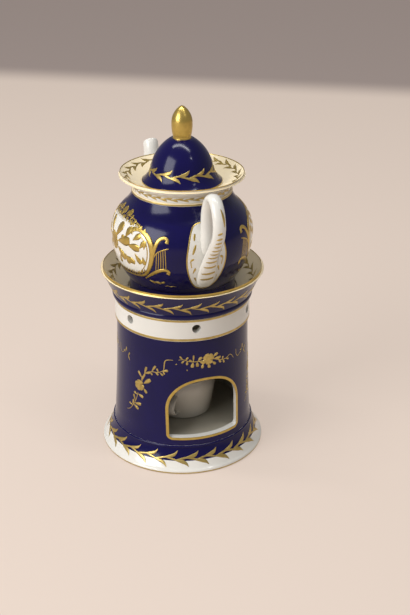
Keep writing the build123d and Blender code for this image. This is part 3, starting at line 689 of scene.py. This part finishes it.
# Lid: a bell-shaped cover with a flat edge and a locating flange, thrown in one. Cobalt outside, white inside.
lid_low, lid_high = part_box("lid_dome")
lid_top = lid_high.z / MM
lid_radius = lid_high.x / MM
lid_waist = (19.4, lid_seat + 9.3)
lid_crown = 7.2
flange = mouth - 0.6
lid_outer = outline(
    (lid_radius - 0.36, lid_seat), ("via", lid_radius - 0.02, lid_seat + 0.55), (lid_radius - 0.48, lid_seat + 1.2),
    ("via", 20.87, lid_seat + 5.74), lid_waist, ("via", 16.1, 198.3), (lid_crown, lid_top), count=16)
lid_dome = throw("lid_dome_thrown", outline(
    (flange, lid_seat)) + lid_outer + outline(
    (0.0, lid_top), (0.0, lid_top - 2.6), (lid_crown - 1.3, lid_top - 2.6),
    ("via", 14.0, 197.0), (lid_waist[0] - 2.6, lid_waist[1]), (flange - 2.3, lid_seat),
    (flange - 2.2, lid_seat - 4.9), (flange - 1.9, lid_seat - 5.2), (flange - 0.3, lid_seat - 5.2),
    (flange, lid_seat - 4.9), count=12), steps=144)
paint(lid_dome, white, lambda r, z, normal, c: True)
paint(lid_dome, cobalt, lambda r, z, normal, c: z > lid_seat + 0.5 and (
    normal.x * c.x + normal.y * c.y > 0.02 * r or normal.z > 0.9) and z > lid_seat + 0.6 and normal.z > -0.2)
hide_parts("lid_dome", "lid_flange")
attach(lid_dome, "lid")


# Finial: an acorn-shaped knob luted on the crown of the lid and gilt all over, burnished but a little rubbed.
def gilding(name, colour, worn, low, high, bump_depth):
    """Gold on the glaze: brushed on, fired and rubbed, so its gloss and depth vary from stroke to stroke."""
    material, tree, output = new_material(name)
    place = add(tree, "ShaderNodeTexCoord", {})
    rub = add(tree, "ShaderNodeTexNoise", {"Vector": place.outputs["Object"], "Scale": 260.0, "Detail": 4.0})
    rough = add(tree, "ShaderNodeMapRange", {"Value": rub.outputs["Fac"], "To Min": low, "To Max": high})
    tone = add(tree, "ShaderNodeMix", {
        "Factor": rub.outputs["Fac"], "A": linear(colour), "B": linear(worn)}, data_type="RGBA")
    bump = add(tree, "ShaderNodeBump", {"Height": rub.outputs["Fac"], "Strength": bump_depth, "Distance": 0.0002})
    shader = add(tree, "ShaderNodeBsdfPrincipled", {
        "Base Color": tone.outputs["Result"], "Metallic": 0.85, "Roughness": rough.outputs["Result"],
        "Normal": bump.outputs["Normal"]})
    tree.links.new(shader.outputs["BSDF"], output.inputs["Surface"])
    return material


gold = gilding("burnished_gold", "#d8bc68", "#a38842", 0.24, 0.36, 0.04)
leaf_gold = gilding("painted_leaf_gold", "#d9c078", "#967f42", 0.28, 0.48, 0.3)
finial_low, finial_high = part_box("lid_finial")
finial_tip = finial_high.z / MM
finial_belly = lid_top + 9.5
finial_radius = finial_high.x / MM
lid_finial = throw("lid_finial_turned", outline(
    (0.0, lid_top), (5.75, lid_top), ("via", 5.6, lid_top + 0.9), (5.7, lid_top + 1.8),
    ("via", 6.3, lid_top + 5.4), (finial_radius - 0.01, finial_belly),
    ("via", 5.92, finial_tip - 6.96), (4.1, finial_tip - 3.3),
    ("via", 2.84, finial_tip - 1.74), (1.3, finial_tip - 0.45),
    ("via", 0.68, finial_tip - 0.14), (0.0, finial_tip), count=12), steps=96)
paint(lid_finial, gold, lambda r, z, normal, c: True)
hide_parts("lid_finial")
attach(lid_finial, "lid")


# Gilding: the lines, laurel borders and sprays are brushed on the fired glaze with liquid gold, fired again and
# burnished, so each stroke stands a hair proud of the glaze and has its own thick and thin.
relief = 0.09
hand = Random(5)


def trace(line):
    """Arc length from the start of an outline to each of its points."""
    lengths = [0.0]
    for here, there in zip(line, line[1:]):
        lengths.append(lengths[-1] + hypot(there[0] - here[0], there[1] - here[1]))
    return lengths


def at(line, lengths, along, lift):
    """Radius and height of the point at an arc length of an outline, lifted off its surface."""
    index = min(max(bisect(lengths, along), 1), len(line) - 1)
    here, there = line[index - 1], line[index]
    step = lengths[index] - lengths[index - 1]
    part = (along - lengths[index - 1]) / step
    run, rise = (there[0] - here[0]) / step, (there[1] - here[1]) / step
    return (here[0] + part * (there[0] - here[0]) + lift * rise, here[1] + part * (there[1] - here[1]) - lift * run)


def level(line, height):
    """Arc length at which an outline first crosses a height."""
    lengths = trace(line)
    for i, (here, there) in enumerate(zip(line, line[1:])):
        if min(here[1], there[1]) <= height <= max(here[1], there[1]) and here[1] != there[1]:
            return lengths[i] + (height - here[1]) / (there[1] - here[1]) * (lengths[i + 1] - lengths[i])
    raise ValueError(height)


def wrap(piece, line, azimuth, along, flip=1):
    """Lays a flat drawing on turned ware: x runs round it to the right, y along its outline, z off the surface."""
    lengths = trace(line)
    radius = at(line, lengths, along, 0.0)[0]
    for vertex in piece.data.vertices:
        x, y, z = vertex.co / MM
        r, height = at(line, lengths, along + flip * y, z)
        angle = radians(azimuth) + x / radius
        vertex.co = (r * sin(angle) * MM, -r * cos(angle) * MM, height * MM)
    if flip < 0:
        piece.data.flip_normals()


def brush(name, strokes, material, fine=4):
    """Brush strokes drawn flat: each is a list of (x, y, width) points in millimetres that the brush passes."""
    curve = bpy.data.curves.new(name, "CURVE")
    curve.dimensions = "3D"
    curve.bevel_depth = 0.5 * MM
    curve.bevel_resolution = 1
    curve.use_fill_caps = True
    curve.resolution_u = fine
    for stroke in strokes:
        spline = curve.splines.new("NURBS")
        spline.points.add(len(stroke) - 1)
        for point, (x, y, width) in zip(spline.points, stroke):
            point.co = (x * MM, y * MM, 0.0, 1.0)
            point.radius = width
        spline.order_u = 3
        spline.use_endpoint_u = True
    piece = bpy.data.objects.new(name, curve)
    bpy.context.collection.objects.link(piece)
    bpy.ops.object.select_all(action="DESELECT")
    piece.select_set(True)
    bpy.context.view_layer.objects.active = piece
    bpy.ops.object.convert(target="MESH")
    piece = bpy.context.object
    piece.data.transform(Matrix.Translation((0, 0, 0.03 * MM)) @ Matrix.Diagonal((1, 1, relief, 1)))
    piece.data.materials.clear()
    piece.data.materials.append(material)
    bpy.ops.object.shade_smooth()
    return piece


def finish(piece, body):
    """Hands a piece that only the looks need over to the body that carries it."""
    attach(piece, body)


def gilt_line(name, line, along, width, body, material):
    """Gold line drawn on turned ware with the brush held still while the wheel turns."""
    lengths = trace(line)
    section = [(-0.5, -0.04), (-0.36, 0.05), (0.0, 0.09), (0.36, 0.05), (0.5, -0.04), (0.0, -0.08)]
    ring = throw(name, [at(line, lengths, along + across * width, lift) for across, lift in section], steps=192)
    bpy.ops.object.shade_smooth()
    paint(ring, material, lambda r, z, normal, c: True)
    finish(ring, body)


def laurel(name, line, along, count, span, body, material, azimuth=0.0, flip=1, stem=1.0):
    """Running laurel border: a wavy stem round the ware, with a leaf above it and a leaf below by turns."""
    pitch = 2 * pi * at(line, trace(line), along, 0.0)[0] / count
    k = pitch / 13.4
    strokes = []
    for number in range(count):
        x = (number - count / 2) * pitch + hand.uniform(-0.03, 0.03) * pitch
        for leaf, points in (
                (False, [(-6.9, -0.9, 0.7), (-3.3, 0.0, 1.1), (0.0, 0.9, 0.9), (3.3, 0.2, 1.1), (6.9, -0.9, 0.7)]),
                (True, [(-1.0, 0.7, 0.6), (2.0, 1.3, 1.5), (4.6, 2.0, 2.0), (6.6, 3.2, 1.3), (7.8, 5.2, 0.2)]),
                (True, [(-7.7, -0.7, 0.6), (-4.7, -1.3, 1.5), (-2.1, -2.0, 2.0), (-0.1, -3.2, 1.3), (1.1, -5.2, 0.2)])):
            tall = span * hand.uniform(0.9, 1.1) / 5.2 if leaf else stem
            wide = 1.3 * hand.uniform(0.88, 1.12) * min(1.0, k * 1.15)
            strokes.append([(x + k * px, tall * py, wide * w) for px, py, w in points])
    border = brush(name, strokes, material)
    wrap(border, line, azimuth, along, flip)
    finish(border, body)


# Gilding of the stand: an edge line and a laurel that runs over the join of white and blue on the foot, lines
# beside the band, a border round the fire door and a laurel under the dish's gold rim, with another inside.
gilt_line("foot_edge_line", foot_outer, level(foot_outer, 0.9), 1.3, "stand", leaf_gold)
laurel("foot_laurel", foot_outer, level(foot_outer, 8.8), 23, 5.3, "stand", leaf_gold, azimuth=6.3)
gilt_line("band_lower_line", barrel_outer, level(barrel_outer, band_low + 1.1), 1.8, "stand", leaf_gold)
gilt_line("band_upper_line", barrel_outer, level(barrel_outer, barrel_top - 0.8), 1.5, "stand", leaf_gold)
laurel("collar_laurel", collar_outer, level(collar_outer, 114.4), 26, 4.9, "stand", leaf_gold, azimuth=-0.2)
dish_lip = collar_outer + outline(collar_outer[-1], ("via", dish_radius - 0.66, dish_top), dish_inner[0])[1:]
gilt_line("dish_rim_line", dish_lip, level(dish_lip, dish_top - 1.1), 2.0, "stand", gold)
laurel("dish_laurel", dish_inner, level(dish_inner, 117.4), 28, 4.0, "stand", leaf_gold, flip=-1)


def even(points, step):
    """The same line with its long straight runs cut into steps."""
    result = [points[0]]
    for here, there in zip(points, points[1:]):
        count = max(1, round(hypot(there[0] - here[0], there[1] - here[1]) / step))
        result += [(here[0] + (there[0] - here[0]) * i / count, here[1] + (there[1] - here[1]) * i / count)
                   for i in range(1, count + 1)]
    return result


def door_border(width):
    """Gold band round the fire door, laid on the barrel from its cut edge outwards."""
    rows = []
    base = even(door_line(0.0) + [door_line(0.0)[0]], 1.0)[:-1]
    lengths = trace(barrel_outer)
    for share, lift in ((0.0, -0.04), (0.08, 0.07), (0.5, 0.1), (0.85, 0.07), (1.0, -0.04)):
        row = []
        for i, (x, z) in enumerate(base):
            last, following = base[i - 1], base[(i + 1) % len(base)]
            run, rise = following[0] - last[0], following[1] - last[1]
            norm = hypot(run, rise)
            px, pz = x + share * width * rise / norm, z - share * width * run / norm
            radius = at(barrel_outer, lengths, level(barrel_outer, pz), lift)[0]
            row.append(Vector((px, -sqrt(radius * radius - px * px), pz)) * MM)
        rows.append(row)
    count = len(base)
    faces = [(j * count + i, j * count + (i + 1) % count, (j + 1) * count + (i + 1) % count, (j + 1) * count + i)
             for j in range(len(rows) - 1) for i in range(count)]
    mesh = bpy.data.meshes.new("door_border")
    mesh.from_pydata([v for row in rows for v in row], [], faces)
    mesh.flip_normals()
    piece = bpy.data.objects.new("door_border", mesh)
    bpy.context.collection.objects.link(piece)
    piece.data.materials.append(gold)
    bpy.ops.object.select_all(action="DESELECT")
    piece.select_set(True)
    bpy.context.view_layer.objects.active = piece
    bpy.ops.object.shade_smooth()
    finish(piece, "stand")


door_border(1.8)


# Sprays on the barrel: two small garlands over the fire door, each a flower among teardrop leaves on a thin
# trailing twig, and the same sprays again round the sides and back.
def drop(x, y, angle, length, width):
    """Teardrop touch of the brush: it lands thin at (x, y) and is pressed down before it lifts."""
    run, rise = length * cos(radians(angle)), length * sin(radians(angle))
    return [(x, y, 0.3), (x + 0.45 * run, y + 0.45 * rise, 1.05 * width), (x + 0.75 * run, y + 0.75 * rise, 1.3 * width),
            (x + 0.98 * run, y + 0.98 * rise, 0.8 * width)]


def flower(x, y, size, petals=7):
    """Round flower head: a heart and a ring of petals that touch."""
    strokes = [[(x - 0.1 * size, y, 0.62 * size), (x + 0.1 * size, y + 0.05 * size, 0.62 * size)]]
    for number in range(petals):
        strokes.append(drop(x, y, number * 360 / petals + hand.uniform(-8, 8), 0.5 * size, 0.34 * size))
    return strokes


def rising_spray():
    """Garland that climbs beside the door, drawn about a point 52 mm up the barrel."""
    return flower(-13.8, 2.8, 7.6) + [
        [(-25.1, -18.5, 0.3), (-22.4, -17.8, 0.45), (-19.9, -14.4, 0.45), (-16.6, -9.6, 0.5), (-15.0, -3.0, 0.6)],
        [(-12.0, 5.5, 0.5), (-10.6, 12.2, 0.5), (-5.4, 15.2, 0.45), (1.0, 14.9, 0.45), (4.0, 17.6, 0.5)],
        [(3.9, 17.5, 0.5), (4.2, 21.0, 0.9), (4.6, 24.4, 0.7), (7.0, 25.2, 0.6), (10.0, 25.1, 0.3)],
        drop(-19.6, -13.6, 80, 4.6, 1.5), drop(-19.8, -13.8, 168, 3.4, 1.1), drop(-18.6, -12.6, -28, 4.8, 1.8),
        drop(-17.6, -11.4, 8, 5.4, 2.0), drop(-17.2, -9.6, 112, 4.6, 1.5), drop(-15.6, -4.6, 160, 3.2, 1.5),
        drop(-14.8, -3.8, -18, 4.4, 1.8), drop(-10.6, 1.6, -48, 4.0, 1.7), drop(-10.4, 5.0, 38, 6.6, 2.5),
        drop(-12.2, 6.6, 66, 4.0, 1.6), drop(-11.6, 8.4, 128, 5.4, 1.5), drop(-11.2, 8.2, 66, 4.2, 1.3),
        drop(-9.8, 12.4, 72, 5.2, 1.5), drop(-9.4, 12.6, 18, 4.0, 1.3), drop(-5.8, 15.0, -52, 3.0, 1.2),
        drop(-4.4, 15.2, 58, 5.2, 1.4), drop(-2.0, 15.4, -40, 3.0, 1.2), drop(0.4, 15.0, 112, 3.2, 1.1),
        drop(1.4, 15.2, -36, 2.6, 1.2), drop(3.4, 16.8, 12, 3.4, 1.6), drop(3.2, 17.2, -66, 3.0, 1.1)]


def level_spray():
    """Garland that lies over the door, drawn about a point 72 mm up the barrel."""
    return flower(2.5, 4.6, 7.8) + [
        [(-16.8, 5.3, 0.3), (-14.0, 6.1, 0.5), (-11.6, 4.6, 0.5), (-7.0, 3.6, 0.6), (-1.0, 4.0, 0.6)],
        [(5.6, 4.2, 0.6), (9.0, 2.6, 0.5), (13.0, 1.4, 0.5), (16.0, 1.6, 0.45), (19.9, 4.2, 0.4),
         (22.3, -0.4, 0.35)],
        [(25.1, 4.7, 0.35), (24.8, 1.0, 0.5), (27.0, -1.4, 0.4), (30.4, 0.4, 0.35), (33.0, 3.6, 0.3)],
        drop(-14.2, 5.8, 130, 2.8, 1.0), drop(-12.4, 5.0, 52, 2.8, 1.1), drop(-13.0, 5.0, -134, 2.6, 1.0),
        drop(-11.2, 4.6, -96, 2.8, 1.3), drop(-7.4, 3.8, 88, 4.6, 1.0), drop(-7.6, 3.7, 148, 3.0, 1.2),
        drop(-7.6, 3.4, -100, 3.6, 2.0), drop(-5.0, 3.6, -86, 3.4, 1.8), drop(-4.6, 4.2, 40, 3.6, 1.6),
        drop(-3.4, 3.6, -30, 3.6, 1.7), drop(-1.0, 2.0, -104, 3.4, 1.6), drop(2.4, 1.6, -78, 3.4, 1.8),
        drop(5.0, 2.2, -42, 3.4, 1.6), drop(6.0, 5.4, 34, 3.6, 1.7), drop(6.6, 4.0, -2, 4.0, 1.7),
        drop(9.2, 2.6, 46, 2.8, 1.3), drop(9.6, 2.4, -52, 3.0, 1.3), drop(12.4, 1.6, 70, 2.4, 1.1),
        drop(13.0, 1.4, -64, 2.6, 1.2), drop(15.6, 1.4, -20, 2.4, 1.1),
        drop(-18.6, 2.2, 20, 0.9, 0.7), drop(-11.2, -2.2, 110, 1.0, 0.7), drop(33.6, 2.2, 96, 3.0, 0.9),
        drop(32.4, 1.4, 166, 2.4, 0.8), drop(35.4, -0.6, 60, 3.6, 0.9), drop(37.2, -3.0, 120, 3.0, 0.9)]


for azimuth, height, strokes in ((-41.0, 52.0, rising_spray()), (-1.0, 72.0, level_spray()),
                                 (119.0, 72.0, level_spray()), (-121.0, 72.0, level_spray()),
                                 (79.0, 52.0, rising_spray()), (-161.0, 52.0, rising_spray())):
    spray = brush("barrel_spray", strokes, leaf_gold)
    wrap(spray, barrel_outer, azimuth, level(barrel_outer, height))
    finish(spray, "stand")


# Gilding of the lid, the plate and the neck: fine lines at the rims and three more laurels, the smallest of
# them on the neck.
neck_outer = outline((neck_radius, neck_level), ("via", neck_radius + 0.3, neck_level + 0.85),
                     (neck_waist, neck_level + 1.7)) + plate_under
plate_lip = plate_under + outline(plate_under[-1], ("via", plate_rim - 0.02, plate_top - 0.5), plate_inside[0])[1:]
gilt_line("neck_line", neck_outer, level(neck_outer, neck_level + 0.8), 1.2, "pot", leaf_gold)
laurel("neck_laurel", neck_outer, level(neck_outer, neck_level + 3.9), 28, 1.5, "pot", leaf_gold, stem=0.5)
gilt_line("plate_rim_line", plate_lip, level(plate_lip, plate_top - 0.35), 1.1, "pot", gold)
laurel("plate_laurel", plate_inside, level(plate_inside, 184.1), 23, 3.5, "pot", leaf_gold, flip=-1)
gilt_line("lid_edge_line", lid_outer, level(lid_outer, lid_seat + 0.6), 0.9, "lid", leaf_gold)
laurel("lid_laurel", lid_outer, level(lid_outer, 188.5), 11, 4.1, "lid", leaf_gold, azimuth=-9.6)


# Reserves on the pot: white grounds left in the blue, a large oval cartouche on each side and a smaller shield
# under the handle and round the spout's root, each framed by brushed gold scrolls.
def reserve(name, edge, azimuth):
    """White ground left in the blue of the belly: (x, y) points of its right edge from the bottom up, mirrored."""
    low, high = edge[0][1], edge[-1][1]
    rows = 48
    shares = [-1.0, -0.98] + [i / 24 for i in range(-23, 24)] + [0.98, 1.0]
    points = []
    for row in range(rows + 1):
        y = low + (high - low) * row / rows
        index = min(max(bisect([spot[1] for spot in edge], y), 1), len(edge) - 1)
        here, there = edge[index - 1], edge[index]
        half = here[0] + (there[0] - here[0]) * (y - here[1]) / (there[1] - here[1])
        for share in shares:
            buried = row in (0, rows) or abs(share) == 1.0
            points.append(Vector((share * half, y, -0.04 if buried else 0.02)) * MM)
    count = len(shares)
    faces = [(r * count + i, r * count + i + 1, (r + 1) * count + i + 1, (r + 1) * count + i)
             for r in range(rows) for i in range(count - 1)]
    mesh = bpy.data.meshes.new(name)
    mesh.from_pydata(points, [], faces)
    piece = bpy.data.objects.new(name, mesh)
    bpy.context.collection.objects.link(piece)
    piece.data.materials.append(white)
    bpy.ops.object.select_all(action="DESELECT")
    piece.select_set(True)
    bpy.context.view_layer.objects.active = piece
    bpy.ops.object.shade_smooth()
    wrap(piece, pot_outer, azimuth, level(pot_outer, belly_level))
    finish(piece, "pot")


def both(strokes):
    """The strokes of the right half, and the same mirrored for the left."""
    return strokes + [[(-x, y, width) for x, y, width in stroke] for stroke in strokes]


def shield():
    """Gold outline of a small reserve and the touches inside it, drawn about the belly's widest line."""
    return both([
        [(0.0, 19.6, 0.7), (4.6, 19.4, 0.9), (8.2, 17.6, 1.0), (10.3, 12.4, 0.9), (12.1, 3.1, 0.9), (12.9, -4.0, 0.9),
         (12.1, -11.8, 0.9), (10.1, -18.8, 0.9), (7.4, -23.7, 1.0), (4.0, -26.2, 0.9), (0.0, -27.0, 0.8)],
        [(7.4, 12.8, 0.8), (7.9, 11.0, 2.2), (8.1, 8.6, 0.8)], [(7.3, 6.1, 0.8), (8.1, 3.4, 2.2), (9.2, 0.2, 0.8)],
        [(8.5, -2.8, 0.8), (9.4, -3.2, 2.2), (10.5, -4.1, 0.8)], [(10.5, -4.1, 0.7), (9.8, -8.7, 0.6)],
        drop(8.8, -13.0, 110, 4.2, 1.1), drop(6.4, -19.4, 70, 3.6, 1.0)])


def cartouche():
    """Scrolls, shells and leaves that frame a side reserve, with a flower and sprigs inside it."""
    frame_strokes = [
        [(21.0, 10.6, 0.6), (23.0, 12.5, 1.4), (29.5, 11.0, 2.4), (33.6, 7.5, 3.0), (35.6, 2.0, 2.8), (35.4, -4.0, 2.6),
         (33.2, -11.0, 2.2), (29.0, -17.5, 1.4), (22.0, -19.5, 1.2), (10.0, -20.5, 1.0), (0.0, -20.9, 1.0)],
        [(24.0, 9.4, 0.4), (30.6, 6.8, 0.6), (32.6, 1.4, 0.6), (32.2, -4.6, 0.6), (29.8, -11.0, 0.5), (25.4, -15.8, 0.4)],
        [(34.9, -8.5, 1.2), (36.1, -0.5, 1.8), (37.6, 4.5, 2.0), (39.1, 8.0, 2.0), (41.4, 9.8, 1.9), (43.9, 10.0, 1.7),
         (45.2, 8.5, 1.7), (44.6, 6.8, 2.0)],
        [(36.5, -3.0, 0.6), (38.3, 0.4, 0.6), (41.9, 2.3, 0.6), (43.9, 3.1, 0.6), (46.0, 3.6, 0.4)],
        [(28.5, -19.9, 0.8), (33.4, -15.8, 1.6), (37.3, -13.0, 2.0), (41.3, -11.0, 2.1), (44.4, -10.8, 1.9),
         (46.2, -12.3, 1.8), (45.2, -14.0, 2.2)],
        drop(31.0, -21.0, -20, 4.4, 1.4), drop(35.0, -21.6, -8, 4.4, 1.4), drop(39.0, -22.0, 20, 3.6, 1.2),
        [(42.0, -24.6, 0.3), (44.0, -23.4, 0.6), (46.0, -24.8, 0.6), (48.0, -23.6, 0.5), (50.0, -24.4, 0.3)],
        [(6.0, 17.4, 0.6), (12.0, 18.4, 0.8), (18.0, 17.0, 0.8), (24.5, 14.2, 0.4)]]
    frame_strokes += flower(9.0, 20.0, 5.0, 6)
    frame_strokes += [drop(x, 18.0 - 0.012 * x * x, angle, 3.6, 1.5) for x, angle in (
        (3.0, 110), (5.0, 60), (13.0, 80), (14.0, -40), (16.5, 40), (18.5, 96), (20.0, -30), (22.0, 30))]
    for number in range(5):
        low_x, high_x = 37.2 + 1.7 * number, 38.6 + 1.3 * number
        frame_strokes.append([(high_x, 0.6 + 0.7 * number, 0.4), (0.5 * (low_x + high_x) + 0.5, -5.4, 0.5),
                              (low_x, -12.6 + 0.6 * number, 0.4)])
    for number in range(19):
        x = 1.4 + 1.55 * number
        rim = 17.2 * (1 - (x / 34.6) ** 3.2) ** (1 / 3)
        frame_strokes.append(drop(x, rim - 3.4, 90 + hand.uniform(-20, 20), 3.4, 0.9))
        frame_strokes.append(drop(x, 0.6 - rim, -90 + hand.uniform(-20, 20), 3.0, 0.9))
    frame_strokes = [[(x, y, 1.25 * width) for x, y, width in stroke] for stroke in frame_strokes]
    frame_strokes += [drop(x, y, angle, 1.1 * length, 1.5 * width) for x, y, angle, length, width in (
        (3.0, 2.0, 62, 11.0, 3.2), (6.0, 0.5, 14, 12.0, 3.4), (5.0, -3.0, -38, 10.0, 3.2), (14.0, 5.0, 64, 7.0, 2.6),
        (17.0, 1.0, -2, 9.0, 2.8), (14.0, -5.5, -64, 6.6, 2.4), (21.0, 5.0, 38, 6.6, 2.2), (20.0, 8.0, 128, 5.0, 1.8),
        (13.0, -7.0, -16, 9.0, 2.4), (23.0, -3.0, -56, 7.0, 2.0), (27.0, 1.0, 60, 5.0, 1.6), (10.0, 8.0, 118, 5.0, 1.8),
        (8.0, -8.0, -104, 5.6, 1.9), (24.0, -8.0, 8, 4.6, 1.4), (30.0, 1.0, 86, 5.0, 1.6),
        (29.0, -4.0, -80, 5.0, 1.6), (12.0, 1.5, 100, 4.0, 2.0), (16.0, 10.0, 20, 5.0, 1.8))]
    frame_strokes.append([(5.0, 0.0, 0.8), (14.0, 3.0, 1.2), (22.0, 0.0, 1.0), (28.0, 2.0, 0.5)])
    return both(frame_strokes) + flower(0.0, -1.0, 12.0) + flower(0.0, 19.5, 6.0)


oval = [(34.6 * (1 - abs(-1 + i / 30) ** 3) ** (1 / 3.2), -1.3 + 17.2 * (-1 + i / 30)) for i in range(61)]
badge = [(1.0, -27.0), (4.0, -26.2), (7.4, -23.7), (10.1, -18.8), (12.1, -11.8), (12.9, -4.0), (12.1, 3.1),
         (10.3, 12.4), (8.2, 17.6), (4.6, 19.4), (1.0, 19.6)]
for azimuth, ground, drawing in ((-90.0, oval, cartouche()), (94.0, oval, cartouche()), (0.0, badge, shield()),
                                 (180.0, badge, shield())):
    reserve("pot_reserve", ground, azimuth)
    scrolls = brush("pot_scrolls", drawing, gold)
    wrap(scrolls, pot_outer, azimuth, level(pot_outer, belly_level))
    finish(scrolls, "pot")


# Gold strokes on the handle: short touches laid across the back of the strap, longer towards its tail, and a
# dab where it turns over at the top.
def handle_spot(x, y):
    """Point near the handle's back: x millimetres across the strap and y along it from its first station."""
    lengths = trace([station[:2] for station in handle_path])
    index = min(max(bisect(lengths, y), 1), len(lengths) - 1)
    part = (y - lengths[index - 1]) / (lengths[index] - lengths[index - 1])
    out, up, pitch, width, thick = [a + part * (b - a) for a, b in zip(handle_path[index - 1], handle_path[index])]
    turn = 4 * x / (width + thick)
    reach = 0.5 * thick * cos(turn)
    return Vector((0.5 * width * sin(turn), -out + reach * sin(radians(pitch)), up + reach * cos(radians(pitch)))) * MM


back = trace([station[:2] for station in handle_path])[8]
touches = [[(0.6, back + 8.0, 0.5), (1.6, back + 11.0, 1.6), (2.2, back + 14.0, 1.8), (2.4, back + 17.4, 0.6)]]
for along, reach in ((21.0, 1.4), (24.2, 1.7), (27.0, 1.9), (30.2, 2.1), (34.0, 2.3), (37.9, 2.5), (41.8, 2.7),
                     (46.2, 3.0), (51.1, 3.3), (57.0, 3.5), (62.1, 3.3)):
    touches.append([(-0.6 - reach, back + along + 0.3, 0.5), (-0.9, back + along, 0.9 + 0.4 * reach),
                    (reach - 0.6, back + along - 0.5, 0.5 + 0.3 * reach)])
strokes_on_handle = brush("handle_strokes", touches, gold)
for vertex in strokes_on_handle.data.vertices:
    x, y, lift = vertex.co / MM
    found, spot, normal, face = pot_handle.closest_point_on_mesh(handle_spot(x, y))
    vertex.co = spot + normal * lift * MM
strokes_on_handle.data.flip_normals()
finish(strokes_on_handle, "pot")
